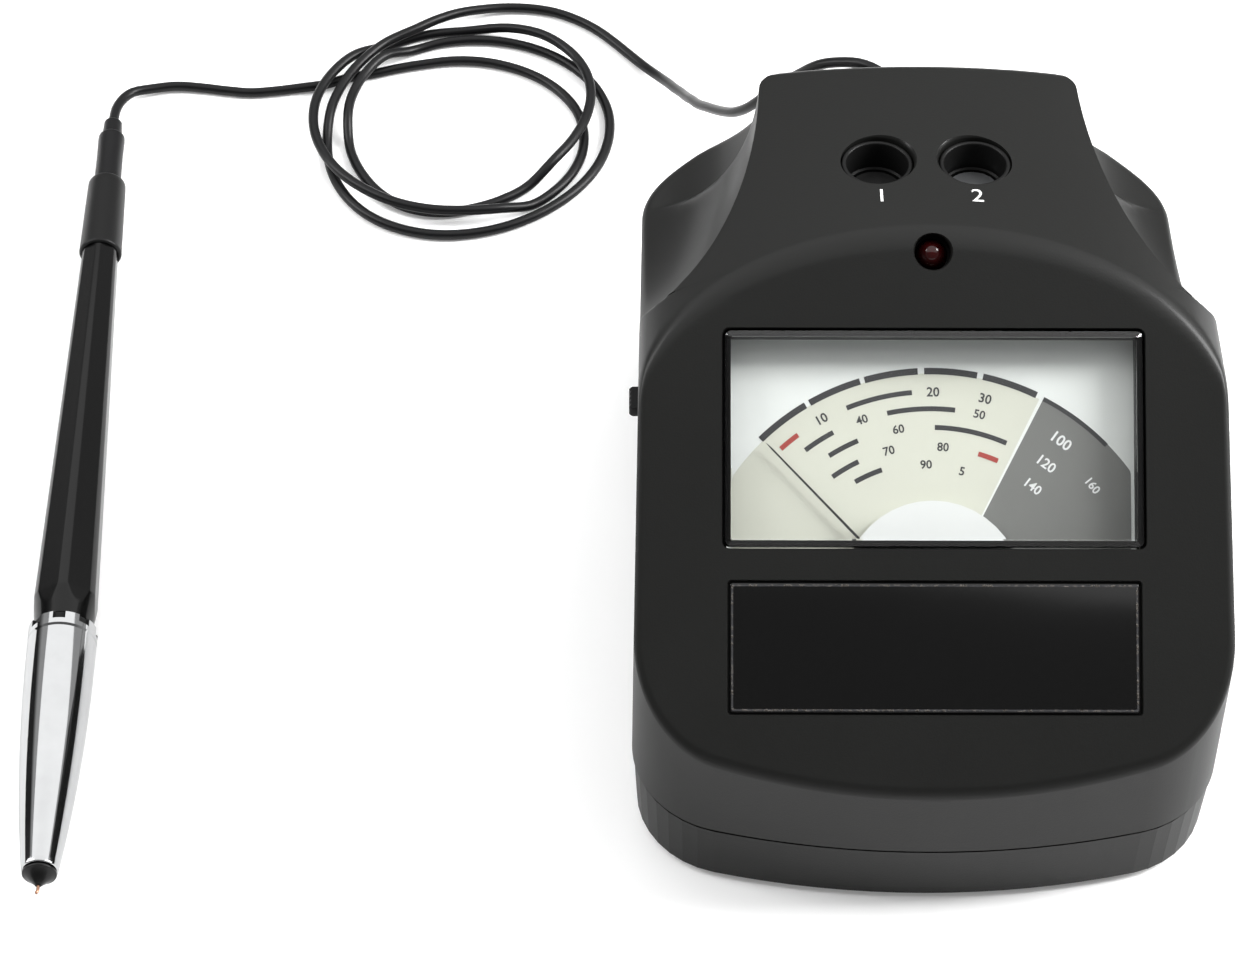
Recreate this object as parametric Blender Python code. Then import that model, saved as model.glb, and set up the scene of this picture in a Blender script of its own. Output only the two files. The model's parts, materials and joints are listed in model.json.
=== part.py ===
"""Desk-top diamond tester: a console with a needle meter, two wells and a probe on a thin cord.

Run it with blender --background --python part.py, or from Blender's text editor.
Every length is in metres and +Z is up. The console's own frame has x = 0 on its middle plane,
y = 0 at the front of its outline and z = 0 under its tray. Two empties place the console and the
probe, so that the point under the middle of both is the origin.
"""
import math

import bmesh
import bpy
import numpy as np
from mathutils import Matrix, Vector

# Clearances that the pieces share
GAP = 0.0003
OVERRUN = 0.003
MERGE_DISTANCE = 1e-6
ARC_STEPS = 8
ROUND_STEPS = 28
SMOOTH_ANGLE = math.radians(32)

# Console outline, seen from above
CONSOLE_WIDTH = 0.100
CONSOLE_DEPTH = 0.1344
FRONT_ARC_RADIUS = 0.156
FRONT_CORNER_RADIUS = 0.018
REAR_CORNER_RADIUS = 0.0132
SIDE_TAPER_SHARE = 0.0165
WALL_DRAFT_SHARE = 0.005
SHELL_WALL = 0.0022
EDGE_ROUND = 0.0013
ROUND_NEAR_SHARE = 0.3
EDGE_STEPS = 40

# Console heights and slopes
FOOT_PROUD = 0.001
PARTING_HEIGHT = 0.0138
TRAY_INSET = 0.0009
FACE_LIFT = 0.03013
DECK_HEIGHT = 0.0842
FACE_ANGLE = math.radians(35.2)
FACE_LENGTH = (DECK_HEIGHT - FACE_LIFT) / math.sin(FACE_ANGLE)
FOLD_LINE = FACE_LENGTH * math.cos(FACE_ANGLE)
DECK_MARK = 0.077
DECK_FALL = math.radians(5.4)
CROWN_DROP = 0.020
FOLD_BLEND = 0.0022
REAR_LEAN = math.radians(20.4)
REAR_WALL_HEIGHT = 0.0485
REAR_BLEND = 0.0042
REAR_EDGE = CONSOLE_DEPTH - (DECK_HEIGHT - REAR_WALL_HEIGHT) * math.tan(REAR_LEAN)

# Hollows scooped out of both flanks behind the deck
SCOOP_REACH = 0.022
SCOOP_START = 0.00665
SCOOP_HEIGHT = 0.036
SCOOP_REAR = 0.0094
SCOOP_PLACE = CONSOLE_DEPTH - SCOOP_REAR
SCOOP_LENGTH = SCOOP_PLACE - FOLD_LINE + SCOOP_START
BRIM_DROP = 0.0062
SCOOP_BRIM = DECK_HEIGHT - BRIM_DROP
SCOOP_DEEPEST = math.radians(87)

# Tray
TRAY_FLOOR = 0.003
TONGUE_HEIGHT = 0.0022
TONGUE_WALL = 0.0012
SEAM_GAP = 0.0006
FOOT_RADIUS = 0.005
FOOT_SINK = 0.0008
FOOT_INSET = 0.0125
FOOT_FRONT = 0.0145
FOOT_REAR = 0.0115

# Case screws and their posts
POST_RADIUS = 0.0036
POST_INSET = 0.0055
POST_FRONT = 0.029
POST_REAR = 0.025
POST_FOOT_HEIGHT = 0.011
SCREW_HEAD_RADIUS = 0.0024
SCREW_HEAD_HEIGHT = 0.0014
SCREW_SHANK_RADIUS = 0.0011
SCREW_LENGTH = 0.0165
SCREW_SINK = 0.0035
SCREW_SLOT_WIDTH = 0.0008
SCREW_SLOT_DEPTH = 0.0006
HEAD_EDGE_SHARE = 0.8
SLOT_SHARE = 0.6

# Meter behind the face; heights on the face run up its slope from the console's front
WINDOW_LOW_SHARE = 0.44093
WINDOW_HEIGHT_SHARE = 0.38443
WINDOW_LOW = FACE_LENGTH * WINDOW_LOW_SHARE
WINDOW_SIDE_ROOM = 0.0152
WINDOW_HEIGHT = FACE_LENGTH * WINDOW_HEIGHT_SHARE
WINDOW_WIDTH = CONSOLE_WIDTH - 2 * WINDOW_SIDE_ROOM
WINDOW_CORNER = 0.0011
LENS_WALL = 0.0012
LENS_PROUD = 0.0007
LENS_BEVEL = 0.0011
LENS_DEPTH = 0.0034
LENS_FLANGE = 0.0012
DIAL_DEPTH = 0.0062
DIAL_THICKNESS = 0.0006
METER_CASE_LOW_SHARE = 0.1759
METER_CASE_LOW = FACE_LENGTH * METER_CASE_LOW_SHARE
METER_CASE_DEPTH = 0.0215
METER_CASE_WALL = 0.0014
METER_CASE_SIDE = 0.0014
PIVOT_SHARE = 0.32302
PIVOT_PLACE = FACE_LENGTH * PIVOT_SHARE
NEEDLE_SHARE = 0.4243
NEEDLE_LENGTH = min(FACE_LENGTH * NEEDLE_SHARE, CONSOLE_WIDTH * NEEDLE_SHARE)
NEEDLE_WIDTH = 0.0007
NEEDLE_THICKNESS = 0.0004
NEEDLE_TAIL = 0.0055
NEEDLE_HUB_RADIUS = 0.0016
NEEDLE_LIFT = 0.0011
NEEDLE_REST = math.radians(44.0)
COIL_WIDTH = 0.0132
COIL_HEIGHT = 0.0088
COIL_BAR = 0.0011
COIL_THICKNESS = 0.0042
CORE_RADIUS = 0.0036
POLE_RADIUS = 0.0104
POLE_WALL = 0.0024
POLE_HEIGHT = 0.0052
BRIDGE_WIDTH = 0.0042
BRIDGE_THICKNESS = 0.0008
SHAFT_RADIUS = 0.0005
HUB_COVER_RADIUS = 0.0149
HUB_COVER_SHARE = 0.36673
HUB_COVER_PLACE = FACE_LENGTH * HUB_COVER_SHARE
HUB_COVER_THICKNESS = 0.0007
HUB_COVER_LIFT = 0.0018
COVER_LEG_SHARE = 0.92

# Plate under the meter
PLATE_LOW_SHARE = 0.14712
PLATE_HEIGHT_SHARE = 0.22996
PLATE_LOW = FACE_LENGTH * PLATE_LOW_SHARE
PLATE_HEIGHT = FACE_LENGTH * PLATE_HEIGHT_SHARE
PLATE_SIDE_ROOM = 0.016
PLATE_WIDTH = CONSOLE_WIDTH - 2 * PLATE_SIDE_ROOM
PLATE_THICKNESS = 0.0008
PLATE_CORNER = 0.0006
PLATE_SINK = 0.0003

# Lamp at the fold
LAMP_ROOM = 0.003
LAMP_PLACE = FACE_LENGTH - LAMP_ROOM
LAMP_RADIUS = 0.0025
LAMP_HOLE_RADIUS = 0.0031
LAMP_FLANGE_RADIUS = 0.0029
LAMP_FLANGE = 0.001
LAMP_BODY = 0.0052
LAMP_SINK = 0.0014
HOLDER_WALL = 0.0013

# Wells on the deck
WELL_SPREAD = 0.0167
WELL_SHARE = 0.4374
WELL_PLACE = FOLD_LINE + WELL_SHARE * (REAR_EDGE - FOLD_LINE)
WELL_RADIUS = 0.0064
CUP_WALL = 0.0008
CUP_DEPTH = 0.0092
CUP_SINK = 0.0011
CUP_FLOOR = 0.001
DISC_RADIUS = 0.0044
DISC_THICKNESS = 0.0012

# Slide switch in the left wall
SWITCH_PLACE = 0.080
SWITCH_HEIGHT = 0.040
SWITCH_TRAVEL = 0.004
KNOB_LENGTH = 0.005
KNOB_HEIGHT = 0.0022
KNOB_PROUD = 0.0016
SWITCH_LENGTH = 0.0145
SWITCH_TALL = 0.0062
SWITCH_DEPTH = 0.0055
SWITCH_WALL = 0.0009

# Battery, its bay and its door
BATTERY_LENGTH = 0.0465
BATTERY_WIDTH = 0.0262
BATTERY_THICKNESS = 0.0172
BATTERY_CORNER = 0.002
BAY_ROOM = 0.0008
BAY_WALL = 0.0014
BAY_REAR = 0.0714
BAY_FRONT = CONSOLE_DEPTH - BAY_REAR
TERMINAL_RADIUS = 0.003
TERMINAL_HEIGHT = 0.0018
CLIP_THICKNESS = 0.0032
DOOR_THICKNESS = 0.0018
DOOR_RAIL = 0.0013
DOOR_RAIL_HEIGHT = 0.0009
DOOR_GRIP_RADIUS = 0.0009
DOOR_GRIPS = 5
DOOR_GRIP_PITCH = 0.003

# Circuit board
BOARD_SIDE_ROOM = 0.018
BOARD_WIDTH = CONSOLE_WIDTH - 2 * BOARD_SIDE_ROOM
BOARD_LENGTH = 0.030
BOARD_THICKNESS = 0.0016
BOARD_FRONT = 0.024
BOARD_HEIGHT = 0.0092
BOARD_PEG_RADIUS = 0.0012
BOARD_POST_RADIUS = 0.0025
BOARD_PEG_INSET = 0.0055
REGULATOR_SIZE = 0.009
REGULATOR_TALL = 0.0032
CAPACITOR_RADIUS = 0.0032
CAPACITOR_TALL = 0.0078

# Cord and its gland in the leaning rear wall
CORD_DIAMETER = 0.002
GLAND_OFFSET = -0.002
GLAND_HEIGHT = 0.0550
GLAND_RADIUS = 0.0032
GLAND_TIP_RADIUS = 0.0016
GLAND_HOLE_RADIUS = 0.0026
GLAND_COLLAR = 0.0012
GLAND_REACH = 0.0052

# Probe, from its pin back to the end of its boot
PROBE_OFFSET = -0.1516
PROBE_FRONT = -0.0018
PROBE_YAW = math.radians(1.2)
PIN_RADIUS = 0.0003
PIN_PROUD = 0.0018
PIN_TRAVEL = 0.0008
TIP_LENGTH = 0.0027
TIP_POINT_RADIUS = 0.00065
TIP_RADIUS = 0.003
TIP_SHANK = 0.006
TIP_SHANK_RADIUS = 0.0022
PIN_FLANGE_RADIUS = 0.0011
PIN_FLANGE = 0.0008
NOSE_LENGTH = 0.0491
NOSE_SWELL_SHARE = 2.1
NOSE_FRONT_RADIUS = 0.0032
NOSE_RADIUS = 0.00615
NOSE_WALL = 0.0009
RING_LENGTH = 0.003
RING_NOTCHES = 8
NOTCH_WIDTH = 0.0022
NOTCH_DEPTH = 0.0006
BARREL_FRONT_RADIUS = 0.0059
BARREL_REAR_RADIUS = 0.0032
BARREL_FLAT_SHARE = 0.93
BARREL_TAPER_RADIUS = 0.0051
BARREL_LENGTH = 0.108
BARREL_SIDES = 6
BARREL_CHAMFER = 0.0062
BARREL_SPIGOT = 0.006
BARREL_BORE_RADIUS = 0.0021
SLEEVE_FRONT_RADIUS = 0.00412
SLEEVE_REAR_RADIUS = 0.00367
SLEEVE_LENGTH = 0.0198
SLEEVE_LAP = 0.0137
BOOT_RADIUS = 0.0026
BOOT_LENGTH = 0.0192
BOOT_NECK_RADIUS = 0.0020
BOOT_NECK_LENGTH = 0.0042
SPRING_RADIUS = 0.0012
SPRING_WIRE = 0.00022
SPRING_TURNS = 4
SPRING_POINTS = 8
HEATER_LENGTH = 0.020
HEATER_RADIUS = 0.0022
HEATER_WALL = 0.0006

# Cord's route over the surface that the object stands on, in the console's frame but with
# heights above that surface; the last two values of a point can follow the gland and the boot
LEAD_ROUTE = ((-0.0058, 0.1421, 0.0618), (-0.0105, 0.1452, 0.0618), (-0.0170, 0.1487, 0.0560),
              (-0.0245, 0.1535, 0.0440), (-0.0317, 0.1610, 0.0300), (-0.0370, 0.1735, 0.0178),
              (-0.0408, 0.1890, 0.0080), (-0.0448, 0.2000, 0.0024), (-0.0500, 0.2080, 0.0010),
              (-0.0585, 0.2168, 0.0010), (-0.0670, 0.2212, 0.0010), (-0.0745, 0.2222, 0.0012),
              (-0.0812, 0.2207, 0.0020), (-0.0875, 0.2178, 0.0031))
PROBE_ROUTE = ((-0.1035, 0.2022, 0.0010), (-0.1110, 0.2004, 0.0010),
               (-0.1190, 0.1987, 0.0010), (-0.1278, 0.1976, 0.0010), (-0.1380, 0.1990, 0.0010),
               (-0.1450, 0.1990, 0.0013), (-0.1505, 0.1964, 0.0020), (-0.1535, 0.1925, 0.0028))
ROUTE_STEP = 0.0052
# Drift of the coil: the loops' middle, half width and half length at even places along it
LOOPS = ((-0.0853, 0.1841, 0.0252, 0.0307), (-0.0846, 0.1872, 0.0303, 0.0288),
         (-0.0888, 0.1835, 0.0168, 0.0204), (-0.0810, 0.1873, 0.0338, 0.0283),
         (-0.0850, 0.1839, 0.0255, 0.0224))
LOOPS_PER_TURN_SHARE = 1.5
LOOPS_START_SHARE = 0.5
LOOP_POINTS = 24
COIL_START = math.radians(112)
COIL_END = math.radians(1188)
COIL_HUMPS = ((90, 168, 20), (486, 528, 18), (700, 790, 24), (866, 1000, 24))
HUMP_RISE = 0.0028


def clear_scene():
    """Remove what the file holds."""
    for item in list(bpy.data.objects):
        bpy.data.objects.remove(item, do_unlink=True)


def make_material(name, colour, roughness, metallic=0.0, transmission=0.0):
    """A plain finish with its own colour, gloss and metal value."""
    material = bpy.data.materials.new(name)
    material.use_nodes = True
    shader = material.node_tree.nodes["Principled BSDF"]
    shader.inputs["Base Color"].default_value = (*colour, 1.0)
    shader.inputs["Roughness"].default_value = roughness
    shader.inputs["Metallic"].default_value = metallic
    shader.inputs["Transmission Weight"].default_value = transmission
    material.diffuse_color = (*colour, 1.0)
    return material


def add_empty(name, place=(0, 0, 0), turn=(0, 0, 0), parent=None):
    """An empty that places the pieces of one group."""
    empty = bpy.data.objects.new(name, None)
    bpy.context.scene.collection.objects.link(empty)
    empty.location = place
    empty.rotation_euler = turn
    empty.parent = parent
    return empty


def add_piece(name, shape, parent, material):
    """One named solid from a bmesh."""
    bmesh.ops.recalc_face_normals(shape, faces=shape.faces)
    mesh = bpy.data.meshes.new(name)
    shape.to_mesh(mesh)
    shape.free()
    mesh.shade_smooth()
    mesh.set_sharp_from_angle(angle=SMOOTH_ANGLE)
    mesh.materials.append(material)
    piece = bpy.data.objects.new(name, mesh)
    bpy.context.scene.collection.objects.link(piece)
    piece.parent = parent
    return piece


def add_tool(name, shape, parent):
    """A shape that only cuts or joins another one."""
    bmesh.ops.recalc_face_normals(shape, faces=shape.faces)
    mesh = bpy.data.meshes.new(name)
    shape.to_mesh(mesh)
    shape.free()
    tool = bpy.data.objects.new(name, mesh)
    bpy.context.scene.collection.objects.link(tool)
    tool.parent = parent
    tool.hide_render = True
    tool.display_type = "WIRE"
    return tool


def change(piece, tool, operation="DIFFERENCE"):
    """Cut the tool from the piece, keep what they share, or join them."""
    step = piece.modifiers.new(operation.lower() + "_" + tool.name, "BOOLEAN")
    step.operation = operation
    step.solver = "EXACT"
    step.object = tool
    return step


def loft(loops):
    """A closed body through loops of equally many points, capped at both ends."""
    shape = bmesh.new()
    rows = [[shape.verts.new(point) for point in loop] for loop in loops]
    count = len(rows[0])
    for low, high in zip(rows[:-1], rows[1:]):
        for i in range(count):
            j = (i + 1) % count
            shape.faces.new((low[i], low[j], high[j], high[i]))
    shape.faces.new(list(reversed(rows[0])))
    shape.faces.new(rows[-1])
    return shape


def prism(outline, low, high):
    """An outline raised from one height to another."""
    return loft([[(x, y, z) for x, y in outline] for z in (low, high)])


def block(x_low, x_high, y_low, y_high, z_low, z_high):
    """A plain box between two corners."""
    outline = ((x_low, y_low), (x_high, y_low), (x_high, y_high), (x_low, y_high))
    return prism(outline, z_low, z_high)


def rounded_outline(x_half, y_low, y_high, radius, steps=4):
    """A rectangle with round corners about x = 0."""
    corners = ((x_half - radius, y_low + radius, 0), (x_half - radius, y_high - radius, 1),
               (radius - x_half, y_high - radius, 2), (radius - x_half, y_low + radius, 3))
    points = []
    for x, y, quarter in corners:
        for step in range(steps + 1):
            angle = math.pi / 2 * (quarter - 1 + step / steps)
            points.append((x + radius * math.cos(angle), y + radius * math.sin(angle)))
    return points


def turned(profile, steps=ROUND_STEPS, hollow=False):
    """A profile of (radius, height) points spun about the Z axis.

    A solid profile starts and ends on the axis; a hollow one is a closed ring of points.
    """
    shape = bmesh.new()
    verts = [shape.verts.new((radius, 0, height)) for radius, height in profile]
    edges = [shape.edges.new(pair) for pair in zip(verts[:-1], verts[1:])]
    if hollow:
        edges.append(shape.edges.new((verts[-1], verts[0])))
    bmesh.ops.spin(shape, geom=verts + edges, cent=(0, 0, 0), axis=(0, 0, 1), dvec=(0, 0, 0),
                   angle=2 * math.pi, steps=steps, use_merge=True, use_duplicate=False)
    bmesh.ops.remove_doubles(shape, verts=shape.verts, dist=MERGE_DISTANCE)
    return shape


def disc(radius, low, high, steps=ROUND_STEPS):
    """A plain cylinder on the Z axis."""
    return turned([(0, low), (radius, low), (radius, high), (0, high)], steps)


def ring(inner, outer, low, high, steps=ROUND_STEPS):
    """A plain tube on the Z axis."""
    return turned([(inner, low), (outer, low), (outer, high), (inner, high)], steps, True)


def moved(shape, offset=(0, 0, 0), turn=None):
    """The shape turned, if asked, and then moved."""
    if turn is not None:
        bmesh.ops.transform(shape, matrix=turn.to_4x4(), verts=shape.verts)
    bmesh.ops.translate(shape, vec=Vector(offset), verts=shape.verts)
    return shape


# Console surfaces, as heights over the plan


def side_at(y, corner_y):
    """How far the side wall has tapered in at a place along the console."""
    return SIDE_TAPER_SHARE * max(y - corner_y, 0.0)


def plan_outline(inset=0.0):
    """The console seen from above: a bowed front, tapered sides and a straight rear."""
    half = CONSOLE_WIDTH / 2
    bow = FRONT_ARC_RADIUS
    corner = FRONT_CORNER_RADIUS
    corner_x = half - corner
    corner_y = bow - math.sqrt((bow - corner) ** 2 - corner_x ** 2)
    meet = math.atan2(corner_x, bow - corner_y)
    right = []
    for step in range(1, ARC_STEPS + 1):
        angle = meet * step / ARC_STEPS
        right.append(((bow - inset) * math.sin(angle), bow - (bow - inset) * math.cos(angle)))
    for step in range(1, ARC_STEPS + 1):
        angle = meet + (math.pi / 2 - meet) * step / ARC_STEPS
        reach = corner - inset
        right.append((corner_x + reach * math.sin(angle), corner_y - reach * math.cos(angle)))
    rear = REAR_CORNER_RADIUS
    rear_half = half - side_at(CONSOLE_DEPTH - rear, corner_y)
    for step in range(ARC_STEPS + 1):
        angle = math.pi / 2 * step / ARC_STEPS
        reach = max(rear - inset, SHELL_WALL / 2)
        right.append((rear_half - inset - reach + reach * math.cos(angle),
                      CONSOLE_DEPTH - inset - reach + reach * math.sin(angle)))
    left = [(-x, y) for x, y in reversed(right)]
    return [(0.0, inset)] + right + left


def face_height(y, wall=0.0):
    """Height of the sloping face over a place in the plan, or of its back under a wall."""
    return FACE_LIFT + y * math.tan(FACE_ANGLE) - wall / math.cos(FACE_ANGLE)


def crown_drop(x):
    """How far the deck's oval crown has fallen at a distance from the middle."""
    share = min(abs(x) / (CONSOLE_WIDTH / 2), 1.0)
    return CROWN_DROP * (1 - math.sqrt(1 - share ** 2))


def deck_height(x, y, wall=0.0):
    """Height of the crowned deck, which falls a little to the rear."""
    return DECK_HEIGHT - crown_drop(x) - math.tan(DECK_FALL) * (y - DECK_MARK) - wall


def rear_height(y, wall=0.0):
    """Height of the leaning rear wall."""
    return REAR_WALL_HEIGHT + (CONSOLE_DEPTH - y) / math.tan(REAR_LEAN) - wall / math.sin(REAR_LEAN)


def fold_place(x, wall=0.0):
    """Where the face meets the deck."""
    lift = deck_height(x, 0, wall) - face_height(0, wall)
    return lift / (math.tan(FACE_ANGLE) + math.tan(DECK_FALL))


def rear_place(x, wall=0.0):
    """Where the deck meets the leaning rear wall."""
    fall = rear_height(0, wall) - deck_height(x, 0, wall)
    return fall / (1 / math.tan(REAR_LEAN) - math.tan(DECK_FALL))


def top_height(x, y):
    """Height of the console's top without its blends."""
    return min(face_height(y), deck_height(x, y), rear_height(y))


def blend(before, corner, after, steps=4):
    """Points on the curve that rounds a corner between two straight runs."""
    points = []
    for step in range(steps + 1):
        share = step / steps
        keep = 1 - share
        points.append(tuple(keep ** 2 * a + 2 * keep * share * b + share ** 2 * c
                            for a, b, c in zip(before, corner, after)))
    return points


def crown_columns():
    """Places across the console, closer together where the crown bends most."""
    columns = 12
    half = CONSOLE_WIDTH / 2
    places = [half * math.sin(math.pi / 2 * step / columns) for step in range(-columns, columns + 1)]
    return [-half - OVERRUN] + places + [half + OVERRUN]


def top_form(wall=0.0):
    """A solid under the face, the deck and the leaning rear, or under their backs."""
    loops = []
    low = PARTING_HEIGHT - 4 * OVERRUN
    front_y = -2 * OVERRUN
    end_y = CONSOLE_DEPTH + 2 * OVERRUN
    for x in crown_columns():
        fold_y, rear_y = fold_place(x, wall), rear_place(x, wall)
        fold_in, fold_out = fold_y - FOLD_BLEND, fold_y + FOLD_BLEND
        rear_in = rear_y - REAR_BLEND
        rear_out = rear_y + REAR_BLEND * math.sin(REAR_LEAN)
        run = [(front_y, face_height(front_y, wall))]
        run += blend((fold_in, face_height(fold_in, wall)), (fold_y, deck_height(x, fold_y, wall)),
                     (fold_out, deck_height(x, fold_out, wall)))
        run += blend((rear_in, deck_height(x, rear_in, wall)), (rear_y, deck_height(x, rear_y, wall)),
                     (rear_out, rear_height(rear_out, wall)))
        run += [(end_y, rear_height(end_y, wall))]
        loops.append([(x, front_y, low)] + [(x, y, z) for y, z in run] + [(x, end_y, low)])
    return loft(loops)


def scoop_form(side, grow=0.0):
    """The hollow in one flank: an oval bowl in front that runs out to the rear."""
    middle_x = side * CONSOLE_WIDTH / 2
    reach, length, height = SCOOP_REACH + grow, SCOOP_LENGTH + grow, SCOOP_HEIGHT + grow
    end_y = CONSOLE_DEPTH + 2 * OVERRUN
    steps = ARC_STEPS + 1
    levels = [(math.cos(angle), SCOOP_BRIM - height * math.sin(angle))
              for angle in (SCOOP_DEEPEST * (1 - step / steps) for step in range(steps + 1))]
    levels.append((1, DECK_HEIGHT + OVERRUN))
    loops = []
    for share, z in levels:
        arc = [math.pi * step / (2 * steps) for step in range(-steps, steps + 1)]
        loop = [(middle_x + reach * share * math.sin(angle),
                 SCOOP_PLACE - length * share * math.cos(angle), z) for angle in arc]
        loop += [(middle_x + reach * share, end_y, z), (middle_x - reach * share, end_y, z)]
        loops.append(loop)
    return loft(loops)


def edge_outline(inset):
    """The plan's outline with places added along both sides, where the top's height changes."""
    points = plan_outline(inset)
    last = 2 * ARC_STEPS
    right = points[1:last + 1]
    (x_low, y_low), (x_high, y_high) = points[last], points[last + 1]
    for step in range(1, EDGE_STEPS):
        share = step / EDGE_STEPS
        right.append((x_low + (x_high - x_low) * share, y_low + (y_high - y_low) * share))
    right += points[last + 1:last + ARC_STEPS + 2]
    return [points[0]] + right + [(-x, y) for x, y in reversed(right)]


def edge_form():
    """A solid that follows the top and rounds the edge all round it in two slopes."""
    near = EDGE_ROUND * ROUND_NEAR_SHARE
    rows = []
    for inset, cut in ((-EDGE_ROUND, EDGE_ROUND / ROUND_NEAR_SHARE), (0, EDGE_ROUND), (near, near), (EDGE_ROUND, 0)):
        rows.append([(x, y, top_height(x, y) - cut) for x, y in edge_outline(inset)])
    skirt = [(x, y, PARTING_HEIGHT - 2 * OVERRUN) for x, y in edge_outline(-EDGE_ROUND)]
    crown = [(x, y, 2 * DECK_HEIGHT) for x, y in edge_outline(EDGE_ROUND + GAP)]
    return loft([skirt] + rows + [crown])


def post_places():
    """Where the four posts and screws stand."""
    half = CONSOLE_WIDTH / 2 - POST_INSET
    return {"front_left": (-half, POST_FRONT), "front_right": (half, POST_FRONT),
            "rear_left": (-half, CONSOLE_DEPTH - POST_REAR),
            "rear_right": (half, CONSOLE_DEPTH - POST_REAR)}


def foot_places():
    """Where the four feet sit."""
    half = CONSOLE_WIDTH / 2 - FOOT_INSET
    return {"front_left": (-half, FOOT_FRONT), "front_right": (half, FOOT_FRONT),
            "rear_left": (-half, CONSOLE_DEPTH - FOOT_REAR),
            "rear_right": (half, CONSOLE_DEPTH - FOOT_REAR)}


def board_places():
    """Where the four pegs of the circuit board stand."""
    half = BOARD_WIDTH / 2 - BOARD_PEG_INSET
    return [(side * half, BOARD_FRONT + place) for side in (-1, 1)
            for place in (BOARD_PEG_INSET, BOARD_LENGTH - BOARD_PEG_INSET)]


def make_upper_housing(console, face, deck, rear, material):
    """The moulded shell: outer form less inner form, then its openings and posts."""
    low = PARTING_HEIGHT + SEAM_GAP / 2
    high = DECK_HEIGHT + 2 * OVERRUN
    draft = WALL_DRAFT_SHARE * (high - low)
    outer = [(x, y, low) for x, y in plan_outline()]
    shell = loft([outer, [(x, y, high) for x, y in plan_outline(draft)]])
    housing = add_piece("upper_housing", shell, console, material)
    change(housing, add_tool("outer_top", top_form(), console), "INTERSECT")
    hollow = loft([[(x, y, low - OVERRUN) for x, y in plan_outline(SHELL_WALL)],
                   [(x, y, high) for x, y in plan_outline(SHELL_WALL + draft)]])
    core = add_tool("hollow", hollow, console)
    change(core, add_tool("inner_top", top_form(SHELL_WALL), console), "INTERSECT")
    for side, label in ((-1, "left"), (1, "right")):
        scoop = scoop_form(side)
        change(housing, add_tool("scoop_" + label, scoop, console))
        change(core, add_tool("scoop_back_" + label, scoop_form(side, SHELL_WALL), console))
    foot = POST_FOOT_HEIGHT + SCREW_LENGTH / 3
    for place, (x, y) in post_places().items():
        post = moved(disc(POST_RADIUS, foot, 2 * high, 16), (x, y, 0))
        change(core, add_tool("post_" + place, post, console))
    change(housing, core)
    for place, (x, y) in post_places().items():
        hole = disc(SCREW_SHANK_RADIUS + GAP, foot - OVERRUN, SCREW_SINK + SCREW_LENGTH + OVERRUN, 16)
        change(housing, add_tool("screw_hole_" + place, moved(hole, (x, y, 0)), console))
    cut_face(housing, face)
    for side, label in ((-1, "left"), (1, "right")):
        hole = moved(disc(WELL_RADIUS, -2 * CUP_DEPTH, 2 * CUP_DEPTH), (side * WELL_SPREAD / 2, 0, 0))
        change(housing, add_tool("well_hole_" + label, hole, deck))
    hole = disc(GLAND_HOLE_RADIUS, -SHELL_WALL - 2 * OVERRUN, 2 * OVERRUN, 20)
    change(housing, add_tool("gland_hole", hole, rear))
    wall_x = CONSOLE_WIDTH / 2
    slot_y, slot_z = (KNOB_LENGTH + SWITCH_TRAVEL) / 2 + 2 * GAP, KNOB_HEIGHT / 2 + GAP
    slot = block(-wall_x - OVERRUN, -wall_x + SHELL_WALL + OVERRUN, SWITCH_PLACE - slot_y,
                 SWITCH_PLACE + slot_y, SWITCH_HEIGHT - slot_z, SWITCH_HEIGHT + slot_z)
    change(housing, add_tool("switch_slot", slot, console))
    change(housing, add_tool("edge_trim", edge_form(), console), "INTERSECT")
    return housing


def cut_face(housing, face):
    """Openings in the sloping face: the window, the plate's shallow bed and the lamp's hole."""
    half = WINDOW_WIDTH / 2 + GAP
    outline = rounded_outline(half, WINDOW_LOW - GAP, WINDOW_LOW + WINDOW_HEIGHT + GAP, WINDOW_CORNER)
    change(housing, add_tool("window_hole", prism(outline, -3 * SHELL_WALL, OVERRUN), face))
    half = PLATE_WIDTH / 2 + GAP
    outline = rounded_outline(half, PLATE_LOW - GAP, PLATE_LOW + PLATE_HEIGHT + GAP, PLATE_CORNER)
    change(housing, add_tool("plate_bed", prism(outline, -PLATE_SINK - PLATE_THICKNESS - GAP, OVERRUN), face))
    hole = moved(disc(LAMP_HOLE_RADIUS, -3 * OVERRUN, 2 * OVERRUN, 20), (0, LAMP_PLACE, 0))
    change(housing, add_tool("lamp_hole", hole, face))


def bay_sizes():
    """The battery bay's half width, its rear end and the height of its ceiling."""
    half = BATTERY_WIDTH / 2 + BAY_ROOM
    end = BAY_FRONT + CLIP_THICKNESS + BATTERY_LENGTH + 2 * BAY_ROOM
    ceiling = DOOR_THICKNESS + GAP + BATTERY_THICKNESS + BAY_ROOM
    return half, end, ceiling


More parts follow.
